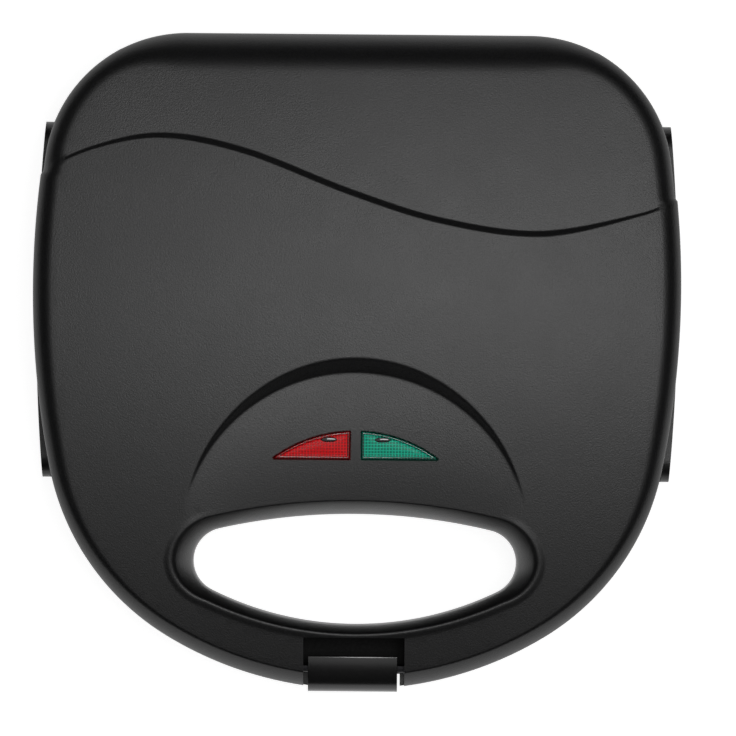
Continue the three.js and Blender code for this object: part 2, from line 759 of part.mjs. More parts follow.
function innerFrame(sign, boundary, notchBack, cheek) {
  const faceZ = level.parting + sign * frameFace;
  const backZ = level.parting + sign * frameBack;
  const [lowZ, highZ] = sign > 0 ? [faceZ, backZ] : [backZ, faceZ];
  const clearance = frame.clearance;
  const plateLoop = roundedLoop(plateArea.halfX, plateArea.lowY, plateArea.highY, plateCorner);
  return cut(
    slab(outlineLoop, boundary + body.wall + clearance + frame.draft, lowZ, highZ),
    slab(openingLoop, -(body.wall + clearance + frame.draft), lowZ - overrun, highZ + overrun),
    slab(plateLoop, -clearance, lowZ - overrun, highZ + overrun),
    notch(cheek + clearance, notchBack + body.wall + clearance),
    trough(body.wall + clearance),
    ...frameSpots.map(([x, y]) => rodZ(x, y, screw.radius + fit.seat, 0, lidPeak, 8)),
  );
}

// Grill plate, drawn with its rim at z = 0 and its bowl below

function plateRibs() {
  const margin = plate.lip + plate.slope;
  const halfX = plateArea.halfX - margin;
  const halfCount = Math.floor((halfX - rib.width) / rib.pitch);
  const floorZ = -plate.bowl;
  const corner = plateCorner - margin;
  return Array.from({ length: 2 * halfCount + 1 }, (unused, index) => {
    const x = (index - halfCount) * rib.pitch;
    const past = Math.max(0, Math.abs(x) + rib.width / 2 - (halfX - corner));
    const shortened = corner - Math.sqrt(Math.max(0, corner ** 2 - past ** 2));
    const halfY = plateHalfY - margin - rib.endGap - shortened;
    const rectangle = (halfBreadth, halfLength, z) => [
      new THREE.Vector3(x - halfBreadth, plateMiddleY - halfLength, z),
      new THREE.Vector3(x + halfBreadth, plateMiddleY - halfLength, z),
      new THREE.Vector3(x + halfBreadth, plateMiddleY + halfLength, z),
      new THREE.Vector3(x - halfBreadth, plateMiddleY + halfLength, z),
    ];
    return loft([
      rectangle(rib.width / 2, halfY, floorZ - plate.thick / 2),
      rectangle(rib.width / 2, halfY, floorZ),
      rectangle(rib.crest / 2, halfY - rib.height, floorZ + rib.height),
    ]);
  });
}

// Pairs of cast ears that hold the heater against the back of the plate
function plateSaddles() {
  const { halfX, lowY } = heaterArea;
  const reach = heater.radius + fit.seat;
  const highZ = hair - below.floorUnder;
  const lowZ = highZ - saddle.height;
  const half = saddle.length / 2;
  const sides = [1, -1].flatMap((side) => [1, -1].map((edge) => {
    const near = side * halfX + edge * reach;
    const [lowX, highX] = edge > 0 ? [near, near + saddle.thick] : [near - saddle.thick, near];
    return box(lowX, highX, plateMiddleY - half, plateMiddleY + half, lowZ, highZ);
  }));
  const fronts = [1, -1].flatMap((side) => [1, -1].map((edge) => {
    const near = lowY + edge * reach;
    const [nearY, farY] = edge > 0 ? [near, near + saddle.thick] : [near - saddle.thick, near];
    const x = side * saddle.frontX;
    return box(x - half, x + half, nearY, farY, lowZ, highZ);
  }));
  return [...sides, ...fronts];
}

function plateSolid(posts, screwsFromBowl) {
  const loop = roundedLoop(plateArea.halfX, plateArea.lowY, plateArea.highY, plateCorner);
  const flange = slab(loop, 0, -plate.flange, 0);
  const shellInset = plate.lip - plate.thick;
  const bowl = loft([
    ring(loop, () => shellInset + plate.slope, () => -below.floorUnder),
    ring(loop, () => shellInset, () => -plate.flange / 2),
  ]);
  const hollow = loft([
    ring(loop, () => plate.lip + plate.slope, () => -plate.bowl),
    ring(loop, () => plate.lip, () => 0),
    ring(loop, () => plate.lip, () => overrun),
  ]);
  const stems = posts.map(([x, y]) => rodZ(x, y, post.radius, -below.postEnd, -plate.bowl - plate.thick / 2));
  const casting = join(cut(join(flange, bowl), hollow), ...plateRibs(), ...plateSaddles(), ...stems);
  const throughBores = posts.flatMap(([x, y]) => [
    rodZ(x, y, post.bore, -below.postEnd - overrun, 0, 8),
    rodZ(x, y, screw.head + fit.seat, -plate.bowl - screw.headThick - fit.seat, 0),
  ]);
  const blindBores = posts.map(([x, y]) => (
    rodZ(x, y, post.bore, -below.postEnd - overrun, post.boreDepth - below.postEnd, 8)
  ));
  return cut(casting, ...(screwsFromBowl ? throughBores : blindBores));
}

// Tubular heater: an open loop that starts and ends at the rear

const heaterArea = {
  halfX: plateArea.halfX - heater.inset,
  lowY: plateArea.lowY + heater.inset,
  highY: plateArea.highY - heater.inset,
};

function bendPoints(centreX, centreY, radius, startAngle, endAngle, z) {
  return [0, 0.5, 1].map((share) => {
    const angle = THREE.MathUtils.degToRad(THREE.MathUtils.lerp(startAngle, endAngle, share));
    return new THREE.Vector3(centreX + radius * Math.cos(angle), centreY + radius * Math.sin(angle), z);
  });
}

function heaterSolid() {
  const { halfX, lowY, highY } = heaterArea;
  const { corner, bend, terminalX, terminal } = heater;
  const z = -below.heater;
  const right = [
    new THREE.Vector3(terminalX, highY + terminal, z),
    ...bendPoints(terminalX + bend, highY + bend, bend, 180, 270, z),
    ...bendPoints(halfX - corner, highY - corner, corner, 90, 0, z),
    ...bendPoints(halfX - corner, lowY + corner, corner, 0, -90, z),
  ];
  const left = right.map((point) => new THREE.Vector3(-point.x, point.y, z)).reverse();
  return tube([...right, ...left], heater.radius, heater.sides, heater.steps);
}

// Heat reflector: a sheet tray with a turned-up edge, between the plate's posts and the housing

function reflectorSolid(posts, hasWindow) {
  const { margin, corner, thick, edge } = reflector;
  const loop = roundedLoop(
    plateArea.halfX - margin, plateArea.lowY + margin, plateArea.highY - margin, corner, 4,
  );
  const low = -below.reflectorUnder;
  const tray = cut(
    slab(loop, 0, low, low + thick + edge),
    slab(loop, thick, low + thick, low + thick + edge + overrun),
    ...posts.map(([x, y]) => rodZ(x, y, post.bore + fit.seat, low - overrun, low + edge, 8)),
  );
  const windowY = plateMiddleY + thermostat.yShare * plateHalfY;
  const window = rodZ(0, windowY, thermostat.window, low - overrun, low + edge, 20);
  return hasWindow ? cut(tray, window) : tray;
}

// Thermostat on the back of the upper plate, with two blade terminals

function thermostatSolid() {
  const y = plateMiddleY + thermostat.yShare * plateHalfY;
  const top = -(below.floorUnder + fit.seat);
  const bottom = top - thermostat.height;
  const { tabX, tabThick, tabWidth, tabLength } = thermostat;
  const tabs = [tabX, -tabX].map((x) => box(
    x - tabThick / 2, x + tabThick / 2,
    y - tabWidth / 2, y + tabWidth / 2,
    bottom - tabLength, bottom + hair,
  ));
  return join(rodZ(0, y, thermostat.radius, bottom, top, 20), ...tabs);
}

// Thermal fuse in its clip on the upper reflector

const fuseDepth = below.reflectorUnder + fit.seat + fuse.clipThick + fuse.radius;

function thermalFuse() {
  const y = plateMiddleY + fuse.yShare * plateHalfY;
  const half = fuse.clipWidth / 2;
  const reach = fuse.radius + fuse.clipThick;
  const clip = box(-half, half, y - reach, y + reach, -fuseDepth - hair, -below.reflectorUnder - fit.seat);
  return join(clip, rodX(-fuse.length / 2, fuse.length / 2, y, -fuseDepth, fuse.radius, 10));
}

// Lenses, neon lamps and their holder

function lensSolid(side) {
  const flangeTop = panelUnder - 3 * fit.seat;
  return join(
    lensSlab(side, 0, flangeTop - lens.flangeThick / 2, archFloor + lens.proud),
    lensSlab(side, lens.flange, flangeTop - lens.flangeThick, flangeTop),
  );
}

function neonLamp(side) {
  const low = lamp.x - lamp.length / 2;
  const high = lamp.x + lamp.length / 2;
  const points = [
    [0, low], [lamp.radius, low], [lamp.radius, high - lamp.radius],
    [lamp.radius * Math.SQRT1_2, high - lamp.radius * (1 - Math.SQRT1_2)], [0, high],
  ];
  const turn = side > 0 ? Math.PI / 2 : -Math.PI / 2;
  return turned(points, 12).rotateY(turn).translate(0, lampY, lampZ);
}

function lampHolder() {
  const half = holder.width / 2;
  const reach = lamp.radius + fit.seat;
  const walls = [1, -1].flatMap((side) => [1, -1].map((edge) => {
    const nearY = lampY + edge * reach;
    const [lowY, highY] = edge > 0 ? [nearY, nearY + holder.cradle] : [nearY - holder.cradle, nearY];
    const lowX = side * lamp.x - lamp.length / 3;
    return box(lowX, lowX + (2 * lamp.length) / 3, lowY, highY, holderTopZ - hair, lampZ);
  }));
  const lowY = archY + holder.lowRise;
  const highY = archY + holder.highRise;
  const shelf = box(-half, half, lowY, highY, holderTopZ - holder.thick, holderTopZ);
  return join(shelf, ...walls);
}

// Latch: a hooked clip on a pin between the cheeks of the notch

// Underside of the base on its centre line, out on the rounding of its rim
function baseRimUnder(y) {
  const share = (y - front - baseInset - belly.taper) / belly.fillet;
  return baseBottom(0, y) + belly.fillet * (1 - Math.sqrt(1 - (1 - share) ** 2));
}

const hookTop = baseRimUnder(ledgeY + latch.bite) - fit.running;

function latchSolid() {
  const outer = front - latch.proud;
  const inner = outer + latch.thick;
  const back = outer + latch.depth;
  const low = hookTop - latch.hookThick;
  const round = latch.round;
  const arc = (centreY, centreZ, startAngle, radius) => [0, 1, 2, 3].map((step) => {
    const angle = THREE.MathUtils.degToRad(startAngle + 30 * step);
    return [centreY + radius * Math.cos(angle), centreZ + radius * Math.sin(angle)];
  });
  const points = [
    [inner + latch.hook, low],
    [inner + latch.hook, hookTop],
    [inner, hookTop],
    [inner, latchPinZ - latch.pinBack],
    [back, latchPinZ - latch.pinDown],
    [back, latchTop],
    ...arc(outer + round, latchTop - round, 90, round),
    ...arc(outer + latch.thick, low + latch.thick, 180, latch.thick),
  ];
  const clip = slabX(points, -latch.width / 2, latch.width / 2);
  const half = latch.width / 2 + overrun;
  return cut(clip, rodX(-half, half, latchPinY, latchPinZ, latch.pin + fit.pin, 12));
}

// Rubber feet, cord inlet bush and terminal block

function footSolid() {
  const top = level.floor - fit.seat;
  const points = [[0, 0], [foot.radius - hair, 0], [foot.radius, top], [foot.stem, top]];
  const stemTop = level.floor + foot.stemLength;
  return turned([...points, [foot.stem, stemTop], [0, stemTop]], 16);
}

function inletBush() {
  const outside = fit.seat + inlet.flangeThick;
  const inside = inlet.padThick + fit.seat;
  const points = [
    [inlet.bore, outside], [inlet.bore, -inside - inlet.flangeThick],
    [inlet.flange, -inside - inlet.flangeThick], [inlet.flange, -inside],
    [inlet.neck, -inside], [inlet.neck, fit.seat],
    [inlet.flange, fit.seat], [inlet.flange, outside], [inlet.bore, outside],
  ];
  return turned(points, 16).rotateX(-Math.PI / 2).translate(inlet.x, inletY, inlet.z);
}

const terminalY = rear - inlet.setback - terminals.rearGap;
const terminalTop = level.floor + body.wall + fit.seat + terminals.height;

function terminalBlock() {
  const { width, depth, height, x, screwRadius } = terminals;
  const low = terminalTop - height;
  const lowY = terminalY - depth / 2;
  const block = box(x - width / 2, x + width / 2, lowY, lowY + depth, low, terminalTop);
  const wells = [-1, 0, 1].map((step) => (
    rodZ(x + (step * width) / 3, terminalY, screwRadius, terminalTop - height / 2, terminalTop + overrun, 10)
  ));
  return cut(block, ...wells);
}

// Leads: each starts on a piece, and the main one passes through the hinge on its axis

function mainLead(sign, farPoints) {
  const axisPoint = (x) => new THREE.Vector3(x, hingeY, level.parting);
  const side = -sign;
  const exit = (distance, x) => leadWay(sign).multiplyScalar(distance).add(axisPoint(x));
  const past = hinge.troughRadius + 2 * body.wall;
  return tube([
    axisPoint(side * fit.seat / 2),
    axisPoint(side * (lead.offset - lead.bend) / 2),
    axisPoint(side * (lead.offset - lead.bend)),
    exit(lead.bend, side * lead.offset),
    exit(past, side * lead.offset),
    ...farPoints,
  ], lead.radius, lead.sides, lead.steps);
}

function baseLead() {
  const x = terminals.x - terminals.width / 3;
  const end = terminalTop + fit.seat;
  return mainLead(-1, [
    new THREE.Vector3(x, terminalY, end + lead.bend),
    new THREE.Vector3(x, terminalY, end),
  ]);
}

function lidLead() {
  const y = plateMiddleY + thermostat.yShare * plateHalfY;
  const end = upperRim + below.floorUnder + fit.seat + thermostat.height + thermostat.tabLength;
  const stop = new THREE.Vector3(-thermostat.tabX, y, end + fit.seat + lead.radius);
  return mainLead(1, [
    new THREE.Vector3(-lead.offset, plateArea.highY - reflector.margin, stop.z),
    new THREE.Vector3(-thermostat.tabX - lead.bend, y + lead.bend, stop.z),
    stop,
  ]);
}

// The two heater leads run side by side behind the plate, to the two outer wells of the block
function heaterLeadSolid(side) {
  const z = lowerRim - below.heater;
  const startX = side * heater.terminalX;
  const startY = heaterArea.highY + heater.terminal + fit.seat;
  const runY = startY + (side > 0 ? heaterLead.nearRun : heaterLead.farRun);
  const wellX = terminals.x + (side > 0 ? terminals.width / 3 : 0);
  const top = terminalTop + fit.seat;
  return tube([
    new THREE.Vector3(startX, startY, z),
    new THREE.Vector3(startX, startY + heaterLead.radius, z),
    new THREE.Vector3(startX + lead.bend, runY, z),
    new THREE.Vector3(wellX - lead.bend, runY, z),
    new THREE.Vector3(wellX, terminalY, top + lead.bend / 2),
    new THREE.Vector3(wellX, terminalY, top),
  ], heaterLead.radius, lead.sides, heaterLead.steps);
}

// Materials

function plastic(color, roughness) {
  return new THREE.MeshStandardMaterial({ color, roughness, metalness: 0 });
}

function metal(color, roughness) {
  return new THREE.MeshStandardMaterial({ color, roughness, metalness: 1 });
}

const material = {
  housing: plastic(0x2b2b2b, 0.55),
  frame: plastic(0x1f1f1f, 0.6),
  latch: plastic(0x141414, 0.2),
  redLens: plastic(0xc01a1c, 0.15),
  greenLens: plastic(0x12946e, 0.15),
  coating: new THREE.MeshStandardMaterial({ color: 0x24211f, roughness: 0.4, metalness: 0.3 }),
  steel: metal(0xb8b8b8, 0.3),
  heater: metal(0x6f6a64, 0.45),
  sheet: metal(0xc9cbcc, 0.35),
  ceramic: plastic(0xe8e3d6, 0.6),
  rubber: plastic(0x161616, 0.9),
  glass: plastic(0xe6ded2, 0.1),
  sleeve: plastic(0xd8d2c4, 0.7),
  brass: metal(0xb9935a, 0.35),
};

// Assembly

const grill = new THREE.Group();
grill.position.y = latch.proud / 2;

function place(name, geometry, finish, parent = grill) {
  const part = new THREE.Mesh(geometry, finish);
  part.name = name;
  parent.add(part);
  return part;
}

// Pieces drawn from the rim of a plate downwards hang in one of these
const lowerHalf = new THREE.Group();
lowerHalf.position.z = lowerRim;
const upperHalf = new THREE.Group();
upperHalf.position.z = upperRim;
upperHalf.rotation.y = Math.PI;
grill.add(lowerHalf, upperHalf);

place('lid_cover', lidCover(), material.housing);
place('base_housing', baseHousing(), material.housing);
const barRear = front + opening.frontBar;
place('lid_inner_frame', innerFrame(1, section.standOut, barRear, latch.cheek), material.frame);
place('base_inner_frame', innerFrame(-1, baseInset, ledgeY, body.wall), material.frame);
place('latch', latchSolid(), material.latch);
place(
  'latch_pin',
  rodX(-latchPinHalf + fit.seat, latchPinHalf - fit.seat, latchPinY, latchPinZ, latch.pin, 12),
  material.steel,
);
place('red_lens', lensSolid(-1), material.redLens);
place('green_lens', lensSolid(1), material.greenLens);
place('red_neon_lamp', neonLamp(-1), material.glass);
place('green_neon_lamp', neonLamp(1), material.glass);
place('lamp_holder', lampHolder(), material.ceramic);

const pinLow = hinge.inset + fit.seat;
const pinHigh = hinge.inset + hingeSpan - fit.seat;
place('hinge_pin_right', rodX(pinLow, pinHigh, hingeY, level.parting, hinge.pin, 12), material.steel);
place('hinge_pin_left', rodX(-pinHigh, -pinLow, hingeY, level.parting, hinge.pin, 12), material.steel);

place('lower_plate', plateSolid(lowerPosts, false), material.coating, lowerHalf);
place('upper_plate', plateSolid(upperPosts, true), material.coating, upperHalf);
place('lower_heater', heaterSolid(), material.heater, lowerHalf);
place('upper_heater', heaterSolid(), material.heater, upperHalf);
place('lower_reflector', reflectorSolid(lowerPosts, false), material.sheet, lowerHalf);
place('upper_reflector', reflectorSolid(upperPosts, true), material.sheet, upperHalf);
place('thermostat', thermostatSolid(), material.ceramic, upperHalf);
place('thermal_fuse', thermalFuse(), material.sleeve, upperHalf);

footSpots.forEach(({ name, x, y }) => {
  place(`foot_${name}`, footSolid(), material.rubber).position.set(x, y, 0);
});
place('cord_inlet_bush', inletBush(), material.rubber);
place('terminal_block', terminalBlock(), material.ceramic);
place('base_lead', baseLead(), material.sleeve);
place('lid_lead', lidLead(), material.sleeve);
place('lower_heater_lead_right', heaterLeadSolid(1), material.sleeve);
place('lower_heater_lead_left', heaterLeadSolid(-1), material.sleeve);

// Screws: the lower plate's from under the base, the upper plate's from its bowl, and the frames'
const lowerScrewLength = lowerRim - below.postEnd + post.boreDepth - fit.running - wellTop + screw.headThick;
lowerPosts.forEach(([x, y], index) => {
  const part = place(`lower_plate_screw_${index + 1}`, screwSolid(lowerScrewLength), material.steel);
  part.position.set(x, y, wellTop - screw.headThick - fit.seat);
});
const upperScrewLength = below.boss + screw.bite - fit.running - plate.bowl;
upperPosts.forEach(([x, y], index) => {
  const part = place(`upper_plate_screw_${index + 1}`, screwSolid(upperScrewLength), material.steel);
  part.position.set(x, y, upperRim + plate.bowl);
});
const frameScrewLength = screw.headThick + frame.thick + screw.bite - fit.running;
frameSpots.forEach(([x, y], index) => {
  const headDepth = frameFace - screw.headThick - fit.seat;
  const upper = place(`lid_frame_screw_${index + 1}`, screwSolid(frameScrewLength), material.steel);
  upper.position.set(x, y, level.parting + headDepth);
  const lower = place(`base_frame_screw_${index + 1}`, screwSolid(frameScrewLength), material.steel);
  lower.position.set(x, y, level.parting - headDepth);
  lower.rotation.x = Math.PI;
});

export default grill;
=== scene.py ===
"""Looks of a contact grill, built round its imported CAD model."""
import math

import bmesh
import bpy
import numpy as np
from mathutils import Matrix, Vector
from mathutils.geometry import delaunay_2d_cdt


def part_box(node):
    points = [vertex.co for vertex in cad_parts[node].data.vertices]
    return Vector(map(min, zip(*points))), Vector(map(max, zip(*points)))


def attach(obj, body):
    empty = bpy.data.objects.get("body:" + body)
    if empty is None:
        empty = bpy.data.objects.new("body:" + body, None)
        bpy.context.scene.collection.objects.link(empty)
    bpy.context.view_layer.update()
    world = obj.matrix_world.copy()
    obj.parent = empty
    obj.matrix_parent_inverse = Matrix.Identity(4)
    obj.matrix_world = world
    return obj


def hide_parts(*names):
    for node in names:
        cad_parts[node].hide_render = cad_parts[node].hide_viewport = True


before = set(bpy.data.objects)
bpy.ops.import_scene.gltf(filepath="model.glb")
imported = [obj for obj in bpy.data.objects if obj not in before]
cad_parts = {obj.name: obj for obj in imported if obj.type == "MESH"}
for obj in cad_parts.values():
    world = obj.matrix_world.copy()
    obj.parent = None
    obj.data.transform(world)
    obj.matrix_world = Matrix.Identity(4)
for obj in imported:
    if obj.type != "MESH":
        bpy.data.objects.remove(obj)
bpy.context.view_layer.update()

# Millimetres to metres. The latch stands proud of the front, so the housing's own middle
# lies this far behind the frame's
MM = 0.001
LATCH_PROUD = 0.6
SHIFT = LATCH_PROUD / 2

# Sizes of the housing in millimetres, mostly as in the CAD source

WIDTH = 234.0
DEPTH = 237.6
REAR = DEPTH / 2
FRONT = -DEPTH / 2
HALF_WIDTH = WIDTH / 2
WALL = 2.2
FLOOR = 5.0
PARTING = 45.0
TOP = 87.4
PARTING_GAP = 0.6
LID_LOW = PARTING + PARTING_GAP / 2
BASE_HIGH = PARTING - PARTING_GAP / 2
OVERRUN = 2.0

CROWN = dict(peak_y=30.0, front_fall=19.9, rear_fall=4.0, side_fall=3.4)
BELLY = dict(start_y=-20.0, front_rise=24.4, fillet=6.0, taper=5.0)

# Arcs from the front's middle to the rear's: their radii as shares, and their turns in half turns
OUTLINE_RADII = (1.123, 0.784, 2.847, 0.449)
OUTLINE_TURNS = (0.174, 0.263, 0.109, 0.454)
OPENING_RADII = (1.99, 0.204, 3.69)
OPENING_TURNS = (0.147, 0.78, 0.073)
OPENING = dict(width=116.6, depth=39.7, front_bar=23.7)

# Rounded edges of the opening and of the lid, each at the rear, at the ends and at the front
RIM = dict(
    corner=(0.5, 2.8, 1.4), corner_turn=(67.0, 59.0, 64.0),
    band=(4.6, 5.8, 2.5), band_turn=(78.5, 72.0, 77.0),
    lip=(0.0, 0.35, 0.3), lip_width=2.4, powers=(1.5, 1.5),
)
EDGE = dict(
    corner=(15.0, 7.3, 1.0), corner_turn=(45.0, 45.0, 45.0),
    band=(2.9, 1.7, 4.6), band_turn=(71.0, 71.0, 70.0), powers=(11.0, 1.2),
)
DRAFT = 0.3
BASE_RIM = dict(round=3.0, draft=2.0, setback=0.4)

# The wave's step, and its line in shares of half the width and of half the depth
SECTION = dict(
    step=1.15, out=0.8, ramp=2.1, forward=0.3, straight=0.7,
    thin=0.4, left=(-112.0, -50.0), right=(66.0, 112.0),
)
WAVE = (
    (-1.1, 0.49), (-0.98, 0.567), (-0.81, 0.644), (-0.6, 0.681), (-0.345, 0.635), (-0.02, 0.513),
    (0.26, 0.429), (0.565, 0.392), (0.86, 0.45), (0.985, 0.499), (1.1, 0.54),
)
ARCH = dict(
    centre_y=-67.5, radius=63.4, floor=82.7, side_rise=1.0, dip=3.8, side_share=0.35,
    reach=44.0, furthest=1.3, slope=38.0, foot_round=0.35, top_round=0.5,
)
LENS = dict(
    radius=50.3, top_y=-25.1, height=10.5, bar=3.7, corner=0.5, least_corner=0.1, gap=0.25,
    flange=1.5, flange_thick=1.0,
)

# How far in from the lens's outline, and how far above the panel, and the rows where its materials change:
# the flange and walls below them, and then the rim, take darker copies of its plastic as painted shade
LENS_RISES = ((0.2, -0.8), (0.35, -0.2), (0.5, 0.1), (0.75, 0.26), (1.0, 0.22), (1.25, 0.05), (1.5, -0.08),
              (2.0, 0.0), (2.7, 0.07), (3.4, 0.12), (4.1, 0.15))
LENS_RIM_ROWS = (3, 8)
EYE = dict(x=9.6, y=-28.4, half_x=3.0, half_y=0.95, rise=0.25, depth=0.8)
EYE_TURNS = (0.0, 20.0, 40.0, 60.0, 75.0, 84.0)
HINGE = dict(
    setback=4.0, trough=6.0, trough_half=86.0, knuckle=3.2, pin=1.6, ear=4.0, barrel=14.0,
    inset=43.6, web=5.0, running=0.4, bore_gap=0.1,
)
LATCH = dict(
    notch_width=36.5, notch_depth=19.0, cheek=4.0, thick=3.0, hook=2.5, ledge_gap=0.8, round=8.5, slope=17.0,
    ridge=0.7, longer=0.9, aside=0.45, side_gap=1.65, pin_back=8.6, pin_down=5.2, bore=1.6, edge=0.35,
)
RAIL = dict(
    radius=730.0, apex_inset=0.6, apex_y=20.0, front_y=-43.0, rear_y=86.0, thick=3.0,
    low=7.0, high=31.0, shelf_low=20.0, shelf_reach=9.0, corner=8.0,
)
INLET = dict(setback=5.0, pad=9.0, thick=3.5, neck=5.25)
INLET_Y = REAR - INLET["setback"]
WELL = dict(radius=3.4, top=10.0, bore=1.6, boss=4.5, boss_top=19.75)
SLOT = dict(count=7, pitch=9.0, width=3.0, length=34.0, y=0.32 * REAR, end_share=0.98)

# The meshes: point spacings in millimetres, steps along curves, sides of rods, and gaps to keep clear
FINE = 1.3
GRID = 3.2
COARSE = 3 * GRID
STEPS = dict(lid=9, opening=7, base=7, base_opening=6, hollow=4, wave=40, rail=60, corner=6, tip=8, latch=15)
SIDES = dict(trough=64, barrel=40, bore=32, screw_bore=24)
CLEAR = dict(lid=0.6, base=1.5, hollow=2.0)
WAVE_ROWS = dict(count=13, reach=1.6, clear=1.2)
ARCH_ROWS = dict(inner=-2.1, outer=9.1, step=0.35, clear_inner=-3.0, clear_outer=9.5)
TINY = dict(straight=1e-6, cut=1e-6, weld=1e-7, edge=1e-8)
SHARP = 35.0
LENS_SHARP = 60.0

# Metres and watts
STAGE = dict(
    floor=6.0, floor_drop=0.0002, floor_colour=(0.5, 0.5, 0.5, 1.0), floor_glow=0.87,
    world=0.03, horizon=(0.02, 0.05), aim=(0.0, 0.0, 0.05),
)
WHITE = (1.0, 1.0, 1.0, 1.0)
LAMPS = (
    dict(name="key", place_at=(0.17, 0.01, 2.4), size=0.6, energy=15.5),
    dict(name="sheet", place_at=(0.15, 0.0, 2.2), size=2.4, energy=17.0),
)
COLOURS = dict(
    housing=(0.006, 0.006, 0.0063), frame=(0.003, 0.003, 0.003), latch=(0.006, 0.006, 0.006),
    # eye: painted shade, the near-black of the neon lamp seen through the clear lens
    eye=(0.002, 0.002, 0.002), steel=(0.62, 0.61, 0.59), blackened=(0.03, 0.03, 0.032),
    coating=(0.021, 0.020, 0.019), worn=(0.07, 0.065, 0.06), sheath=(0.32, 0.29, 0.25),
    scorched=(0.2, 0.14, 0.1), sheet=(0.8, 0.8, 0.81), ceramic=(0.78, 0.74, 0.65),
    sleeve=(0.72, 0.68, 0.58), dark_sleeve=(0.06, 0.058, 0.055),
    rubber=(0.012, 0.012, 0.012), bloom=(0.03, 0.03, 0.029), glass=(0.95, 0.9, 0.84), amber=(0.8, 0.72, 0.62),
)

# Each texture's noise: its scale, detail and roughness. Depths and the lens grid's pitch are in metres
TEXTURES = dict(
    housing_grain=(1900.0, 2.0, 0.6), frame_grain=(1100.0, 2.0, 0.6), cloud=(60.0, 3.0, 0.5),
    scuffs=(900.0, 4.0, 0.7), drawn=(700.0, 2.0, 0.5), stains=(90.0, 4.0, 0.5), peel=(500.0, 3.0, 0.6),
    flecks=(2600.0, 1.0, 0.5), specks=(800.0, 4.0, 0.7), bloom=(250.0, 4.0, 0.5), streaks=(300.0, 2.0, 0.5),
)
BUMPS = dict(
    grain=0.00006, drawn=0.00002, peel=0.00005, specks=0.00003, braid=0.0001, bloom=0.00006, grid=0.00012,
)
BRAID_SCALE = 1500.0
LENS_PITCH = 0.0011

# Each lens: its side, its colour between the lines of its grid, and the paler colour on the lines, which is
# painted highlight
LENSES = {
    "red_lens": (-1, (0.42, 0.003, 0.005), (0.9, 0.012, 0.018)),
    "green_lens": (1, (0.003, 0.2, 0.13), (0.02, 0.6, 0.38)),
}

# The photograph: pixels, and the camera's distance in metres
VIEW = dict(
    frame=736, mm_per_pixel=0.362, middle_x=356.5, middle_y=361.0, roll=0.5,
    distance=6.0, clip_end=20.0, sensor=36.0,
)


def place(points):
    """Housing millimetres to frame metres."""
    points = np.asarray(points, dtype=float)
    return (points + (0.0, SHIFT, 0.0)) * MM


# Surfaces of the housing, as functions of x and y

def catmull_rom(points, per_span):
    """A smooth line through the given points."""
    points = np.asarray(points, dtype=float)
    padded = np.vstack([points[:1], points, points[-1:]])
    steps = np.linspace(0.0, 1.0, per_span, endpoint=False)[:, None]
    spans = []
    for before, start, end, after in zip(padded, padded[1:], padded[2:], padded[3:]):
        lead_in = (end - before) / 2
        lead_out = (after - start) / 2
        cubic = (2 * start - 2 * end + lead_in + lead_out) * steps ** 3
        square = (-3 * start + 3 * end - 2 * lead_in - lead_out) * steps ** 2
        spans.append(cubic + square + lead_in * steps + start)
    return np.vstack(spans + [points[-1:]])


WAVE_LINE = catmull_rom(np.array(WAVE) * (HALF_WIDTH, REAR), STEPS["wave"])
WAVE_SLOPE = np.gradient(WAVE_LINE[:, 1], WAVE_LINE[:, 0])


def smooth(value, low, high):
    """0 below low, 1 above high, and an even curve between them."""
    share = np.clip((value - low) / (high - low), 0.0, 1.0)
    return share * share * (3 - 2 * share)


def wave_distance(x, y):
    """How far behind the wave's line a point lies."""
    line_y = np.interp(x, *WAVE_LINE.T)
    slope = np.interp(x, WAVE_LINE[:, 0], WAVE_SLOPE)
    return (y - line_y) / np.sqrt(1 + slope ** 2)


def wave_size(x):
    """The share of its full step that the wave has: it thins towards both sides of the lid."""
    left = smooth(x, *SECTION["left"])
    right = 1 - smooth(x, *SECTION["right"])
    return SECTION["thin"] + (1 - SECTION["thin"]) * left * right


def behind_wave(x, y):
    """The share of the wave's step that a point has gone down: 0 in front of the wave and 1 behind it."""
    half = SECTION["ramp"] / 2 * wave_size(x)
    distance = wave_distance(x, y) + SECTION["forward"]
    straight = np.clip((distance + half) / (2 * half), 0.0, 1.0)
    return SECTION["straight"] * straight + (1 - SECTION["straight"]) * smooth(distance, -half, half)


def crown(x, y):
    """The lid's crowned top without its wave and arch."""
    front = np.clip((CROWN["peak_y"] - y) / (CROWN["peak_y"] - FRONT), 0.0, None)
    rear = np.clip((y - CROWN["peak_y"]) / (REAR - CROWN["peak_y"]), 0.0, None)
    fall = CROWN["front_fall"] * front ** 2 + CROWN["rear_fall"] * rear ** 2
    return TOP - fall - CROWN["side_fall"] * (x / HALF_WIDTH) ** 2


def soft_min(a, b, width):
    """The lower of two heights, with the corner between them rounded."""
    share = np.clip(0.5 + (b - a) / (2 * width), 0.0, 1.0)
    return b * (1 - share) + a * share - width * share * (1 - share)


def arch_floor(x, y):
    """The sunk panel, which rises a little at its sides and bends down towards the handle opening."""
    side = np.clip(np.abs(x) / ARCH["radius"], 0.0, 1.0) ** 2
    forward = np.clip((ARCH["centre_y"] + ARCH["radius"] - y) / ARCH["reach"], 0.0, ARCH["furthest"]) ** 2
    return ARCH["floor"] + ARCH["side_rise"] * side - ARCH["dip"] * forward * (1 - ARCH["side_share"] * side)


def lid_height(x, y):
    """The lid's top, with the wave's step and with the arch's sloping wall round the sunk panel."""
    body = crown(x, y) - SECTION["step"] * wave_size(x) * behind_wave(x, y)
    distance = np.hypot(x, y - ARCH["centre_y"]) - ARCH["radius"]
    rise = math.tan(math.radians(ARCH["slope"]))
    wall = rise * (np.sqrt(distance ** 2 + ARCH["foot_round"] ** 2) + distance) / 2
    return soft_min(body, arch_floor(x, y) + wall, ARCH["top_round"] * rise)


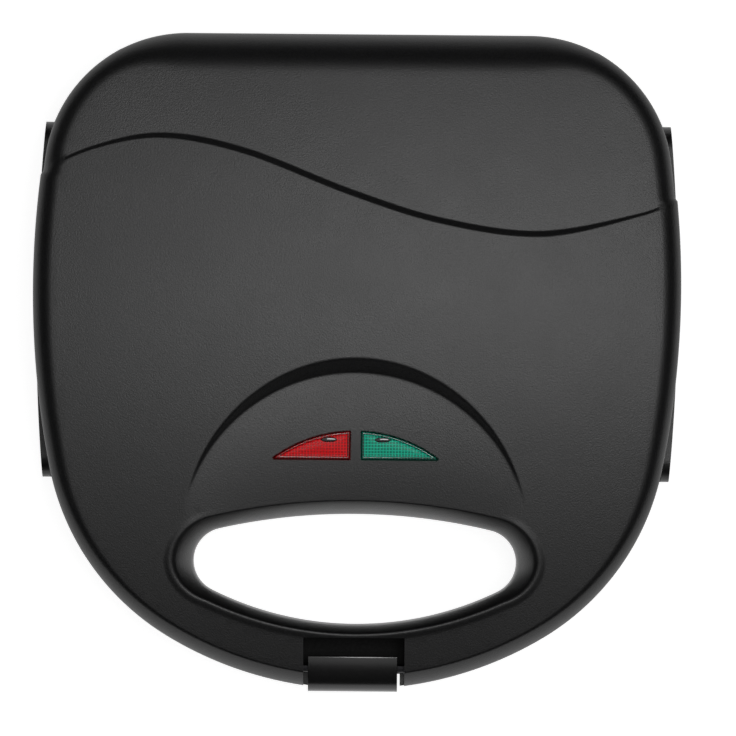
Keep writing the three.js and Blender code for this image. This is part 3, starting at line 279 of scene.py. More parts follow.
def belly(x, y):
    """The underside of the base, which rises under the handle."""
    front = np.clip((BELLY["start_y"] - y) / (BELLY["start_y"] - FRONT), 0.0, None)
    return FLOOR + BELLY["front_rise"] * front ** 2


# Closed loops of points with their outward normals: columns x, y, nx, ny

def arc_loop(radii, turns, width, depth, front_y, spacing):
    """A loop that is alike left and right, from tangent arcs scaled to a width and a depth."""
    def half(steps):
        points = [(0.0, 0.0, 0.0)]
        heading = 0.0
        for radius, turn, count in zip(radii, turns, steps):
            x, y, _ = points[-1]
            centre = (x - radius * math.sin(heading), y + radius * math.cos(heading))
            for step in range(1, count + 1):
                angle = heading + turn * math.pi * step / count
                x, y = centre[0] + radius * math.sin(angle), centre[1] - radius * math.cos(angle)
                points.append((x, y, angle))
            heading += turn * math.pi
        return np.array(points)

    rough = half([24] * len(radii))
    scale_x = width / 2 / rough[:, 0].max()
    scale_y = depth / rough[-1, 1]
    lengths = [radius * turn * math.pi * (scale_x + scale_y) / 2 for radius, turn in zip(radii, turns)]
    right = half([max(3, round(length / spacing)) for length in lengths])
    if right[-1, 0] > TINY["straight"]:
        straight = max(2, round(2 * right[-1, 0] * scale_x / spacing / 2))
        share = np.arange(1, straight) / straight
        extra = np.column_stack([right[-1, 0] * (1 - share), np.full(len(share), right[-1, 1]),
                                 np.full(len(share), math.pi)])
        right = np.vstack([right, extra, [(0.0, right[-1, 1], math.pi)]])
    scale_x = width / 2 / right[:, 0].max()
    normals = np.column_stack([scale_y * np.sin(right[:, 2]), -scale_x * np.cos(right[:, 2])])
    normals /= np.linalg.norm(normals, axis=1)[:, None]
    points = np.column_stack([right[:, 0] * scale_x, front_y + right[:, 1] * scale_y, normals])
    mirrored = points[1:-1][::-1] * (-1, 1, -1, 1)
    return np.vstack([points, mirrored])


def rounded_loop(half_x, low_y, high_y, corner, steps=10):
    """A rectangle with rounded corners."""
    rows = []
    for sign_x, sign_y, start in ((1, -1, -90), (1, 1, 0), (-1, 1, 90), (-1, -1, 180)):
        centre_x = sign_x * (half_x - corner)
        centre_y = high_y - corner if sign_y > 0 else low_y + corner
        for step in range(steps + 1):
            angle = math.radians(start + 90 * step / steps)
            rows.append((centre_x + corner * math.cos(angle), centre_y + corner * math.sin(angle),
                         math.cos(angle), math.sin(angle)))
    return np.array(rows)


def inset(loop, amount):
    """The loop's points, drawn in along their normals."""
    return loop[:, :2] - loop[:, 2:] * np.reshape(amount, (-1, 1))


def at_height(flat, z):
    return np.column_stack([flat, np.full(len(flat), z)])


OUTLINE = arc_loop(OUTLINE_RADII, OUTLINE_TURNS, WIDTH, DEPTH, FRONT, FINE)
OPENING_LOOP = arc_loop(OPENING_RADII, OPENING_TURNS, OPENING["width"], OPENING["depth"],
                        FRONT + OPENING["front_bar"], FINE)


def round_rim(loop, values, powers):
    """A value for each point of a loop, from those at its rear, its ends and its front."""
    rear, end, front = values
    rear_share = np.clip(loop[:, 3], 0.0, None) ** powers[0]
    front_share = np.clip(-loop[:, 3], 0.0, None) ** powers[1]
    return end + (rear - end) * rear_share + (front - end) * front_share


# Meshes

def add_object(name, data):
    thing = bpy.data.objects.new(name, data)
    bpy.context.scene.collection.objects.link(thing)
    return thing


def make_object(name, vertices, faces):
    mesh = bpy.data.meshes.new(name)
    mesh.from_pydata([tuple(v) for v in vertices], [], [tuple(f) for f in faces])
    mesh.validate()
    mesh.update()
    return add_object(name, mesh)


def height_solid(name, rings, holes, points, margin, height):
    """A closed solid whose surface runs down to a foot along rings of points.

    rings and holes go from the edge of the surface to its foot; each is an array of x, y, z.
    The surface between the first two uses those points that lie a margin clear of them.
    """
    count = len(rings[0])
    hole_count = len(holes[0])
    points = clear_of(points, rings[0][:, :2], holes[0][:, :2], margin)

    def fill(outer, hole, extra):
        """Triangles between two loops, and the points that they use; loop points come first."""
        points = [Vector(p) for p in np.vstack([outer, hole, extra])]
        edges = [(i, (i + 1) % count) for i in range(count)]
        edges += [(count + i, count + (i + 1) % hole_count) for i in range(hole_count)]
        flat, _, triangles, source, _, _ = delaunay_2d_cdt(points, edges, [], 0, TINY["cut"])
        flat = np.array([tuple(p) for p in flat])
        middles = flat[np.array(triangles)].mean(axis=1)
        keep = inside(middles, outer) & ~inside(middles, hole)
        found = {origin: index for index, origins in enumerate(source) for origin in origins}
        return flat, [list(t) for t, kept in zip(triangles, keep) if kept], found

    flat, faces, found = fill(rings[0][:, :2], holes[0][:, :2], points)
    heights = height(*flat.T)
    for origin, z in enumerate(np.concatenate([rings[0][:, 2], holes[0][:, 2]])):
        heights[found[origin]] = z
    vertices = [np.column_stack([flat, heights])]
    total = len(flat)
    feet = []
    for family, offset in ((rings, 0), (holes, count)):
        size = len(family[0])
        previous = [found[offset + i] for i in range(size)]
        for ring in family[1:]:
            current = list(range(total, total + size))
            vertices.append(ring)
            total += size
            faces += [[previous[i], current[i], current[(i + 1) % size], previous[(i + 1) % size]]
                      for i in range(size)]
            previous = current
        feet += previous
    _, triangles, found = fill(rings[-1][:, :2], holes[-1][:, :2], np.empty((0, 2)))
    back = {index: feet[origin] for origin, index in found.items()}
    faces += [[back[i] for i in triangle] for triangle in triangles]
    thing = make_object(name, place(np.vstack(vertices)), faces)
    outward(thing)
    return thing


def inside(points, loop):
    """Whether each of the points lies inside a closed loop."""
    x, y = np.asarray(points)[:, :1], np.asarray(points)[:, 1:]
    x0, y0 = loop[:, 0], loop[:, 1]
    x1, y1 = np.roll(x0, -1), np.roll(y0, -1)
    crosses = (y0 > y) != (y1 > y)
    with np.errstate(divide="ignore", invalid="ignore"):
        at = x0 + (y - y0) * (x1 - x0) / (y1 - y0)
    return np.count_nonzero(crosses & (x < at), axis=1) % 2 == 1


# Solid helpers

def stacked(name, rings):
    """A closed solid on a stack of rings with the same number of points. Its first two faces are its ends."""
    count = len(rings[0])
    last = (len(rings) - 1) * count
    faces = [list(range(count))[::-1], list(range(last, last + count))]
    for below in range(0, last, count):
        above = below + count
        for i in range(count):
            after = (i + 1) % count
            faces.append([below + i, below + after, above + after, above + i])
    return make_object(name, place(np.vstack(rings)), faces)


def prism(name, loop, low_z, high_z):
    """An upright solid on a closed anticlockwise loop of x, y points."""
    loop = np.asarray(loop)[:, :2]
    return stacked(name, [at_height(loop, low_z), at_height(loop, high_z)])


def block(name, low, high):
    """A box between two opposite corners."""
    loop = [(low[0], low[1]), (high[0], low[1]), (high[0], high[1]), (low[0], high[1])]
    return prism(name, loop, low[2], high[2])


def profile_solid(name, profile, low_x, high_x):
    """A solid with a closed profile of y, z points, running along X."""
    profile = np.asarray(profile)
    rings = [np.column_stack([np.full(len(profile), x), profile]) for x in (low_x, high_x)]
    thing = stacked(name, rings)
    outward(thing)
    return thing


def circle(radius, sides):
    angles = 2 * math.pi * np.arange(sides) / sides
    return np.column_stack([radius * np.cos(angles), radius * np.sin(angles)])


def arc(centre_x, centre_y, radius, start, end, count):
    """Points along an arc between two angles in radians."""
    angles = np.linspace(start, end, count)
    return np.column_stack([centre_x + radius * np.cos(angles), centre_y + radius * np.sin(angles)])


def rod(name, start, end, radius, sides):
    """A round bar between two points."""
    start = np.array(start, dtype=float)
    end = np.array(end, dtype=float)
    along = Vector(end - start).normalized()
    turn = np.array(along.to_track_quat("Z", "Y").to_matrix())
    ring = at_height(circle(radius, sides), 0.0) @ turn.T
    return stacked(name, [ring + start, ring + end])


def outward(thing):
    """Turns every face of a closed mesh outwards and merges doubled points."""
    work = bmesh.new()
    work.from_mesh(thing.data)
    bmesh.ops.remove_doubles(work, verts=work.verts, dist=TINY["weld"])
    bmesh.ops.dissolve_degenerate(work, edges=work.edges, dist=TINY["edge"])
    bmesh.ops.recalc_face_normals(work, faces=work.faces)
    work.to_mesh(thing.data)
    work.free()


def apply_modifiers(thing):
    """Replaces a mesh with the result of its modifiers."""
    evaluated = thing.evaluated_get(bpy.context.evaluated_depsgraph_get())
    mesh = bpy.data.meshes.new_from_object(evaluated)
    thing.modifiers.clear()
    thing.data = mesh


def combine(target, others, operation):
    """Applies a boolean operation of the others to the target, and deletes them."""
    for other in others:
        step = target.modifiers.new("combine", "BOOLEAN")
        step.operation = operation
        step.solver = "MANIFOLD"
        step.object = other
    bpy.context.view_layer.update()
    apply_modifiers(target)
    for other in others:
        bpy.data.objects.remove(other)


def cut(target, others):
    combine(target, others, "DIFFERENCE")


def join(target, others):
    combine(target, others, "UNION")


def bevel(thing, width, segments=3):
    """Softens the sharp edges of a mesh."""
    step = thing.modifiers.new("bevel", "BEVEL")
    step.width = width * MM
    step.segments = segments
    step.limit_method = "ANGLE"
    step.angle_limit = math.radians(SHARP)
    apply_modifiers(thing)


def smooth_shading(thing, angle=SHARP):
    """Smooth shading, apart from the edges sharper than an angle in degrees."""
    for polygon in thing.data.polygons:
        polygon.use_smooth = True
    thing.data.set_sharp_from_angle(angle=math.radians(angle))


# Lid cover

def shoulder(loop, form, steps):
    """Distances out from a wall and down from the top, along a small arc and then a flatter one."""
    corner = round_rim(loop, form["corner"], form["powers"])
    band = round_rim(loop, form["band"], form["powers"])
    first = np.radians(round_rim(loop, form["corner_turn"], form["powers"]))
    last = np.radians(round_rim(loop, form["band_turn"], form["powers"]))
    flatter = band / (np.sin(last) - np.sin(first))
    rows = []
    for turn in np.linspace(0.0, 1.0, steps)[:, None] * first:
        rows.append((DRAFT + band + corner * (np.sin(first) - np.sin(turn)), corner * (1 - np.cos(turn))))
    for share in np.linspace(0.0, 1.0, steps)[1:]:
        turn = first + (last - first) * share
        out = DRAFT + band - flatter * (np.sin(turn) - np.sin(first))
        rows.append((out, corner * (1 - np.cos(first)) + flatter * (np.cos(first) - np.cos(turn))))
    return rows


def hole_rings(height, foot_z, steps, grow=0.0):
    """Rings from the lip round the handle opening, over its rounded rim, down to its foot."""
    rows = shoulder(OPENING_LOOP, RIM, steps)
    lip = round_rim(OPENING_LOOP, RIM["lip"], RIM["powers"])
    rings = []
    for share in np.linspace(0.0, 1.0, steps)[:-1]:
        flat = inset(OPENING_LOOP, -(grow + rows[0][0] + RIM["lip_width"] * (1 - share)))
        rise = lip * share * share * (3 - 2 * share)
        rings.append(np.column_stack([flat, height(*flat.T) + rise]))
    for out, drop in rows:
        flat = inset(OPENING_LOOP, -(grow + out))
        rings.append(np.column_stack([flat, height(*flat.T) + lip - drop]))
    rings.append(at_height(inset(OPENING_LOOP, -grow), foot_z))
    return rings


def lid_rings(height, foot_z, steps, grow=0.0):
    """Rings from the top of the lid's rounded edge down to its foot."""
    edge = SECTION["out"] * behind_wave(*OUTLINE[:, :2].T) + grow
    rings = []
    for out, drop in shoulder(OUTLINE, EDGE, steps):
        flat = inset(OUTLINE, edge + out)
        rings.append(np.column_stack([flat, height(*flat.T) - drop]))
    rings.append(at_height(inset(OUTLINE, edge), foot_z))
    return rings


def clear_of(points, outer, hole, margin):
    """The points inside one loop and outside another, and not within a margin of either."""
    points = points[inside(points, outer) & ~inside(points, hole)]
    loops = np.vstack([outer, hole])
    nearest = np.array([np.hypot(*(loops - point).T).min() for point in points])
    return points[nearest > margin]


def grid_points(spacing):
    """A plain grid of points over the whole housing."""
    grid_x, grid_y = np.meshgrid(np.arange(-HALF_WIDTH, HALF_WIDTH, spacing), np.arange(FRONT, REAR, spacing))
    return np.column_stack([grid_x.ravel(), grid_y.ravel()])


def lid_surface_points():
    """Points that follow the wave and the arch, and a grid over the rest."""
    half = SECTION["ramp"] / 2
    xs = np.arange(-HALF_WIDTH, HALF_WIDTH, FINE)
    line_y = np.interp(xs, *WAVE_LINE.T)
    slope = np.interp(xs, WAVE_LINE[:, 0], WAVE_SLOPE)
    across = np.column_stack([-slope, np.ones(len(xs))]) / np.sqrt(1 + slope ** 2)[:, None]
    offsets = half * np.linspace(-WAVE_ROWS["reach"], WAVE_ROWS["reach"], WAVE_ROWS["count"])
    wave = np.vstack([np.column_stack([xs, line_y]) + across * offset for offset in offsets])
    radii = ARCH["radius"] + np.arange(ARCH_ROWS["inner"], ARCH_ROWS["outer"], ARCH_ROWS["step"])
    angles = np.arange(0.0, 2 * math.pi, FINE / ARCH["radius"])
    arch = np.vstack([np.column_stack([np.cos(angles), np.sin(angles)]) * radius for radius in radii])
    arch += (0.0, ARCH["centre_y"])
    grid = grid_points(GRID)
    from_wave = np.abs(wave_distance(*grid.T))
    from_arch = np.hypot(grid[:, 0], grid[:, 1] - ARCH["centre_y"]) - ARCH["radius"]
    off_wave = from_wave > WAVE_ROWS["reach"] * half + WAVE_ROWS["clear"]
    off_arch = (from_arch < ARCH_ROWS["clear_inner"]) | (from_arch > ARCH_ROWS["clear_outer"])
    return np.vstack([wave, arch, grid[off_wave & off_arch]])


def notch_block(name, side_grow, back_y):
    """What the latch's notch takes out of the front, made wider at each side by side_grow."""
    half = LATCH["notch_width"] / 2 + side_grow
    return block(name, (-half, FRONT - OVERRUN, -OVERRUN), (half, back_y, TOP + OVERRUN))


HINGE_Y = REAR - HINGE["setback"]


def hinge_rod(name, low_x, high_x, radius, sides):
    """A round bar on the hinge axis."""
    return rod(name, (low_x, HINGE_Y, PARTING), (high_x, HINGE_Y, PARTING), radius, sides)


def trough_rod(name, grow):
    """What the round trough for the hinge takes out of the rear."""
    half = HINGE["trough_half"] + grow
    return hinge_rod(name, -half, half, HINGE["trough"] + grow, SIDES["trough"])


def knuckle(name, low_x, high_x, sign):
    """A barrel on the hinge axis with its web to the trough wall."""
    half = HINGE["web"] / 2
    reach = HINGE["trough"] + WALL / 2
    lean = math.sqrt(0.5) * reach
    profile = [(half, sign * half), (-half, -sign * half),
               (-half - lean, sign * (lean - half)), (half - lean, sign * (lean + half))]
    profile = [(HINGE_Y + y, PARTING + z) for y, z in profile]
    barrel = hinge_rod(name, low_x, high_x, HINGE["knuckle"], SIDES["barrel"])
    join(barrel, [profile_solid(name + "_web", profile, low_x, high_x)])
    return barrel


def pin_bores():
    """The two bores of the hinge pins."""
    low = HINGE["inset"] - OVERRUN
    high = HINGE["inset"] + 2 * HINGE["ear"] + 2 * HINGE["running"] + HINGE["barrel"] + OVERRUN
    radius = HINGE["pin"] + HINGE["bore_gap"]
    return [hinge_rod("bore", side * low, side * high, radius, SIDES["bore"]) for side in (1, -1)]


def lens_loop(side, grow, steps=36):
    """A lens outline with rounded corners: an arc above, a straight side and a straight foot."""
    out = max(LENS["corner"] + grow, LENS["least_corner"])
    core = grow - out
    centre_y = LENS["top_y"] - LENS["radius"]
    base_y = LENS["top_y"] - LENS["height"] - core
    inner = LENS["bar"] / 2 - core
    radius = LENS["radius"] + core
    tip = math.asin((base_y - centre_y) / radius)
    peak = math.acos(inner / radius)

    loop = np.vstack([
        arc(inner, base_y, out, -math.pi, -math.pi / 2, STEPS["corner"]),
        arc(radius * math.cos(tip), base_y, out, -math.pi / 2, tip, STEPS["tip"])[:-1],
        arc(0.0, centre_y, radius + out, tip, peak, steps),
        arc(inner, centre_y + radius * math.sin(peak), out, peak, math.pi, STEPS["corner"])[1:],
    ])
    return loop if side > 0 else (loop * (-1, 1))[::-1]


def lid_shell():
    """The lid: a crowned shell with its wave-shaped step, sunk arch, handle opening and latch notch."""
    rings = lid_rings(lid_height, LID_LOW, STEPS["lid"])
    holes = hole_rings(lid_height, LID_LOW, STEPS["opening"])
    shell = height_solid("lid_shell", rings, holes, lid_surface_points(), CLEAR["lid"], lid_height)

    def hollow_height(x, y):
        return lid_height(x, y) - WALL - SECTION["step"] * (1 - behind_wave(x, y))

    rings = lid_rings(hollow_height, LID_LOW - OVERRUN, STEPS["hollow"], WALL)
    holes = hole_rings(hollow_height, LID_LOW - OVERRUN, STEPS["hollow"], WALL)
    hollow = height_solid("lid_hollow", rings, holes, grid_points(COARSE), CLEAR["hollow"], hollow_height)
    notch_back = FRONT + LATCH["notch_depth"]
    cheeks = notch_block("cheeks", LATCH["cheek"], notch_back + WALL)
    cut(hollow, [cheeks, trough_rod("trough", WALL)])
    cut(shell, [notch_block("notch", 0.0, notch_back), trough_rod("trough", 0.0)])
    window_low = ARCH["floor"] - 2 * WALL - OVERRUN
    windows = [prism("window", lens_loop(side, LENS["gap"]), window_low, TOP) for side in (1, -1)]
    cut(shell, [hollow] + windows)
    low = HINGE["inset"] + HINGE["ear"] + HINGE["running"]
    high = low + HINGE["barrel"]
    join(shell, [knuckle("knuckle", low, high, 1), knuckle("knuckle", -high, -low, 1)])
    cut(shell, pin_bores())
    smooth_shading(shell)
    return shell


# Base housing

def base_rings(grow, foot_z, steps):
    """Rings from the belly, over its rounded edge, up to the parting line."""
    fillet = BELLY["fillet"] - grow
    edge = PARTING_GAP / 2 + grow
    rings = []
    for angle in np.radians(np.linspace(90, 0, steps)):
        flat = inset(OUTLINE, edge + BELLY["taper"] + fillet * (1 - math.cos(angle)))
        heights = belly(*flat.T) + grow + fillet * (1 - math.sin(angle))
        rings.append(np.column_stack([flat, heights]))
    rings.append(at_height(inset(OUTLINE, edge), foot_z))
    return rings


def base_hole_rings(grow, foot_z, steps):
    """Rings from the belly, over the opening's rounded rim, up to the parting line."""
    amount = BASE_RIM["round"]
    rings = []
    for angle in np.radians(np.linspace(90, 0, steps)):
        flat = inset(OPENING_LOOP, -(grow + BASE_RIM["draft"] + amount * (1 - math.cos(angle))))
        heights = belly(*flat.T) + grow + amount * (1 - math.sin(angle))
        rings.append(np.column_stack([flat, heights]))
    rings.append(at_height(inset(OPENING_LOOP, -grow - BASE_RIM["setback"]), foot_z))
    return rings


def side_rail(side):
    """The rounded rail along one side, on its shelf."""
    centre_x = HALF_WIDTH - RAIL["apex_inset"] - RAIL["radius"]

    def strip(name, depth, low_z, high_z):
        ys = np.linspace(RAIL["front_y"], RAIL["rear_y"], STEPS["rail"])
        xs = centre_x + np.sqrt(RAIL["radius"] ** 2 - (ys - RAIL["apex_y"]) ** 2)
        loop = np.vstack([np.column_stack([xs, ys]), np.column_stack([xs - depth, ys])[::-1]])
        return prism(name, loop if side > 0 else (loop * (-1, 1))[::-1], low_z, high_z)

    middle = (RAIL["front_y"] + RAIL["rear_y"]) / 2
    corners = rounded_loop(RAIL["rear_y"] - middle, RAIL["low"], RAIL["high"], RAIL["corner"])
    corners = corners[:, :2] + (middle, 0.0)
    rail = strip("rail", RAIL["thick"], RAIL["low"], RAIL["high"])
    far = HALF_WIDTH + OVERRUN
    combine(rail, [profile_solid("corners", corners, -far, far)], "INTERSECT")
    shelf = strip("shelf", RAIL["shelf_reach"], RAIL["shelf_low"], RAIL["shelf_low"] + RAIL["thick"])
    join(rail, [shelf])
    return rail


def base_shell():
    """The base: a shell with a belly that rises under the handle, its rails, slots, wells and hinge ears."""
    rings = base_rings(0.0, BASE_HIGH, STEPS["base"])
    holes = base_hole_rings(0.0, BASE_HIGH, STEPS["base_opening"])
    shell = height_solid("base_shell", rings, holes, grid_points(COARSE), CLEAR["base"], belly)

    def hollow_height(x, y):
        return belly(x, y) + WALL

    rings = base_rings(WALL, BASE_HIGH + OVERRUN, STEPS["hollow"])
    holes = base_hole_rings(WALL, BASE_HIGH + OVERRUN, STEPS["hollow"])
    hollow = height_solid("base_hollow", rings, holes, grid_points(COARSE), CLEAR["hollow"], hollow_height)
    ledge = FRONT - LATCH_PROUD + LATCH["thick"] + LATCH["hook"] + LATCH["ledge_gap"]
    cut(hollow, [notch_block("cheeks", WALL, ledge + WALL), trough_rod("trough", WALL)])
    inlet_x, _, inlet_z = node_middle("cord_inlet_bush")
    pad = INLET["pad"]
    recess = block("recess", (inlet_x - pad, INLET_Y, inlet_z - pad),
                   (inlet_x + pad, REAR + OVERRUN, inlet_z + pad))
    notch = notch_block("notch", -LATCH["side_gap"], ledge)
    cut(shell, [notch, trough_rod("trough", 0.0), recess])
    pad_block = block("pad", (inlet_x - pad, INLET_Y - INLET["thick"], inlet_z - pad),
                      (inlet_x + pad, INLET_Y, inlet_z + pad))
    cut(hollow, [pad_block])
    for x, y in well_spots():
        boss = rod("boss", (x, y, 0), (x, y, WELL["boss_top"]), WELL["boss"], SIDES["barrel"])
        cut(hollow, [boss])
    cut(shell, [hollow])
    rails = [side_rail(1), side_rail(-1)]
    for rail in rails:
        cut(rail, [base_core()])
    join(shell, rails)
    ears = []
    for low in (HINGE["inset"], HINGE["inset"] + HINGE["ear"] + 2 * HINGE["running"] + HINGE["barrel"]):
        high = low + HINGE["ear"]
        ears += [knuckle("ear", low, high, -1), knuckle("ear", -high, -low, -1)]
    join(shell, ears)
    cutters = pin_bores()
    for x, y in well_spots():
        below = (x, y, -OVERRUN)
        above = (x, y, WELL["boss_top"] + OVERRUN)
        cutters.append(rod("well", below, (x, y, WELL["top"]), WELL["radius"], SIDES["barrel"]))
        cutters.append(rod("bore", below, above, WELL["bore"], SIDES["screw_bore"]))
    cutters += floor_slots()
    cutters.append(rod("inlet", (inlet_x, INLET_Y - 3 * INLET["thick"], inlet_z),
                       (inlet_x, REAR + OVERRUN, inlet_z), INLET["neck"], SIDES["barrel"]))
    cut(shell, cutters)
    smooth_shading(shell)
    return shell


def base_core():
    """The hollow of the base as one plain solid, which keeps the rails out of it."""
    core = stacked("base_core", base_rings(WALL, BASE_HIGH + OVERRUN, STEPS["hollow"]))
    outward(core)
    return core


def node_box(node):
    """A CAD node's corners in housing millimetres."""
    low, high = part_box(node)
    return [np.array(corner) / MM - (0.0, SHIFT, 0.0) for corner in (low, high)]


def node_middle(node):
    low, high = node_box(node)
    return (low + high) / 2


def well_spots():
    """Where the lower plate's screws come through the base."""
    return [node_middle(f"lower_plate_screw_{index}")[:2] for index in range(1, 5)]


def floor_slots():
    """What the row of cooling slots takes out of the floor."""
    middle = (SLOT["count"] - 1) / 2
    half = SLOT["width"] / 2
    blocks = []
    for index in range(SLOT["count"]):
        x = (index - middle) * SLOT["pitch"]
        outline = rounded_loop(SLOT["length"] / 2, -half, half, half * SLOT["end_share"], STEPS["corner"])
        loop = outline[:, 1::-1] + (x, SLOT["y"])
        blocks.append(prism("slot", loop[::-1], -OVERRUN, FLOOR + WALL + OVERRUN))
    return blocks


# Latch and lenses

def latch_clip():
    """The hooked clip: a C-shaped profile with a rounded front and softened edges."""
    low, high = node_box("latch")
    outer, top, foot = low[1], high[2], low[2]
    inner = outer + LATCH["thick"]
    rear = high[1] + LATCH["longer"]
    _, pin_y, pin_z = node_middle("latch_pin")
    slope = math.radians(LATCH["slope"])
    curve = LATCH["round"]
    shoulder_y = outer + curve * (1 - math.sin(slope))
    shoulder_z = top - (rear - shoulder_y) * math.tan(slope)
    curve_z = shoulder_z - curve * math.cos(slope)
    hook_top = foot + LATCH["thick"]
    ridge = LATCH["ridge"]
    ridge_edge = ridge / 4
    profile = [(inner + LATCH["hook"], foot), (inner + LATCH["hook"], hook_top), (inner, hook_top),
               (inner, pin_z - LATCH["pin_back"]), (rear, pin_z - LATCH["pin_down"]),
               (rear, top - ridge_edge), (rear - ridge_edge, top), (rear - ridge, top)]
    profile += list(arc(outer + curve, curve_z, curve, math.pi / 2 + slope, math.pi, STEPS["latch"]))
    profile += list(arc(inner, hook_top, LATCH["thick"], math.pi, 1.5 * math.pi, STEPS["latch"]))
    clip = profile_solid("latch_clip", profile, low[0] - LATCH["aside"], high[0] - LATCH["aside"])
    bevel(clip, LATCH["edge"])
    ends = (low[0] - OVERRUN, pin_y, pin_z), (high[0] + OVERRUN, pin_y, pin_z)
    bore = rod("bore", *ends, LATCH["bore"], SIDES["bore"])
    cut(clip, [bore])
    smooth_shading(clip)
    return clip


def lens_piece(side, node):
    """A lens: a window inside its raised rim, with a flange behind the panel."""
    low, _ = node_box(node)
    count = len(lens_loop(side, 0.0))
    flange_top = low[2] + LENS["flange_thick"]
    rings = []
    for grow, z in ((LENS["flange"], low[2]), (LENS["flange"], flange_top), (0.0, flange_top)):
        rings.append(at_height(lens_loop(side, grow), z))
    for grow, rise in LENS_RISES:
        loop = lens_loop(side, -grow)
        rings.append(np.column_stack([loop, arch_floor(*loop.T) + rise]))
    lens = stacked(node + "_clear", rings)
    flange_rows, rim_rows = LENS_RIM_ROWS
    # Painted shade: flange and walls get the plastic darkened to a fifth, and the rim a darker copy with a
    # coat, for a dark outline round the lens
    for polygon in lens.data.polygons[2:]:
        row = (polygon.index - 2) // count
        polygon.material_index = 2 if row < flange_rows else 1 if row < rim_rows else 0
    outward(lens)
    smooth_shading(lens, LENS_SHARP)
    return lens


def lens_eye(side, node, sides=40):
    """A smooth near-black oval that stands a little proud of the lens in front of its neon lamp. Its black is
    painted shade for the dark lamp seen through the clear lens; its glint is a real reflection of the lamps.
    """
    centre_x = side * EYE["x"]
    centre_z = arch_floor(centre_x, EYE["y"])
    tilt = (arch_floor(centre_x, EYE["y"] + 1.0) - arch_floor(centre_x, EYE["y"] - 1.0)) / 2
    rings = []
    for turn in np.radians(EYE_TURNS):
        oval = circle(1.0, sides) * (EYE["half_x"] * math.cos(turn), EYE["half_y"] * math.cos(turn))
        z = centre_z + oval[:, 1] * tilt + EYE["rise"] * math.sin(turn)
        rings.append(np.column_stack([oval + (centre_x, EYE["y"]), z]))
    rings.insert(0, rings[0] - (0.0, 0.0, EYE["depth"]))
    eye = stacked(node + "_eye", rings)
    outward(eye)
    smooth_shading(eye, LENS_SHARP)
    return eye


# Materials

def new_material(name):
    material = bpy.data.materials.new(name)
    material.use_nodes = True
    tree = material.node_tree
    shader = next(node for node in tree.nodes if node.type == "BSDF_PRINCIPLED")
    return material, tree, shader


def coordinates(tree):
    return tree.nodes.new("ShaderNodeTexCoord").outputs["Object"]


def noise(tree, vector, texture):
    node = tree.nodes.new("ShaderNodeTexNoise")
    for socket, value in zip(("Scale", "Detail", "Roughness"), TEXTURES[texture]):
        node.inputs[socket].default_value = value
    tree.links.new(vector, node.inputs["Vector"])
    return node.outputs["Fac"]


def ramp(tree, value, limits, results=(0.0, 1.0)):
    """Maps a value between two limits to a value between two results."""
    node = tree.nodes.new("ShaderNodeMapRange")
    node.inputs["From Min"].default_value, node.inputs["From Max"].default_value = limits
    node.inputs["To Min"].default_value, node.inputs["To Max"].default_value = results
    tree.links.new(value, node.inputs["Value"])
    return node.outputs["Result"]


def maths(tree, operation, *values):
    """A maths node on sockets and numbers."""
    node = tree.nodes.new("ShaderNodeMath")
    node.operation = operation
    for value, socket in zip(values, node.inputs):
        if isinstance(value, float):
            socket.default_value = value
        else:
            tree.links.new(value, socket)
    return node.outputs[0]


def vary_colour(tree, shader, factor, first, second):
    """Mixes the shader's colour from two."""
    node = tree.nodes.new("ShaderNodeMix")
    node.data_type = "RGBA"
    node.inputs["A"].default_value = (*first, 1.0)
    node.inputs["B"].default_value = (*second, 1.0)
    tree.links.new(factor, node.inputs["Factor"])
    tree.links.new(node.outputs["Result"], shader.inputs["Base Color"])


def vary_roughness(tree, shader, value, limits, results):
    tree.links.new(ramp(tree, value, limits, results), shader.inputs["Roughness"])


def bump(tree, height, shader, form):
    node = tree.nodes.new("ShaderNodeBump")
    node.inputs["Strength"].default_value = 1.0
    node.inputs["Distance"].default_value = BUMPS[form]
    tree.links.new(height, node.inputs["Height"])
    tree.links.new(node.outputs["Normal"], shader.inputs["Normal"])


def fix(shader, values):
    for socket, value in values.items():
        shader.inputs[socket].default_value = value


def shade(colour, factor):
    return tuple(channel * factor for channel in colour)


def grained_plastic(name, colour, roughness, specular):
    """Moulded plastic with faint cloudiness and a fine spark-eroded grain, which has the material's name."""
    material, tree, shader = new_material(name)
    where = coordinates(tree)
    fine = noise(tree, where, name)
    broad = noise(tree, where, "cloud")
    vary_colour(tree, shader, ramp(tree, fine, (0.35, 0.65)), shade(colour, 0.5), shade(colour, 1.6))
    vary_roughness(tree, shader, broad, (0.3, 0.7), (roughness - 0.008, roughness + 0.008))
    bump(tree, fine, shader, "grain")
    fix(shader, {"Specular IOR Level": specular})
    return material


def polished_plastic(name, colour, roughness):
    """Glossy plastic with faint hairline scuffs."""
    material, tree, shader = new_material(name)
    scuffs = noise(tree, coordinates(tree), "scuffs")
    vary_roughness(tree, shader, scuffs, (0.4, 0.75), (roughness, roughness + 0.08))
    vary_colour(tree, shader, scuffs, colour, shade(colour, 1.3))
    return material


def metal(name, colour, roughness, stretch=(1.0, 1.0, 12.0), stain=None):
    """Metal with fine drawn lines and slight tarnish."""
    material, tree, shader = new_material(name)
    fix(shader, {"Metallic": 1.0})
    where = coordinates(tree)
    mapping = tree.nodes.new("ShaderNodeMapping")
    mapping.inputs["Scale"].default_value = stretch
    tree.links.new(where, mapping.inputs["Vector"])
    lines = noise(tree, mapping.outputs["Vector"], "drawn")
    stains = noise(tree, where, "stains")
    vary_colour(tree, shader, ramp(tree, stains, (0.35, 0.7)), colour, stain or shade(colour, 0.8))
    vary_roughness(tree, shader, lines, (0.3, 0.7), (roughness - 0.06, roughness + 0.08))
    bump(tree, lines, shader, "drawn")
    return material


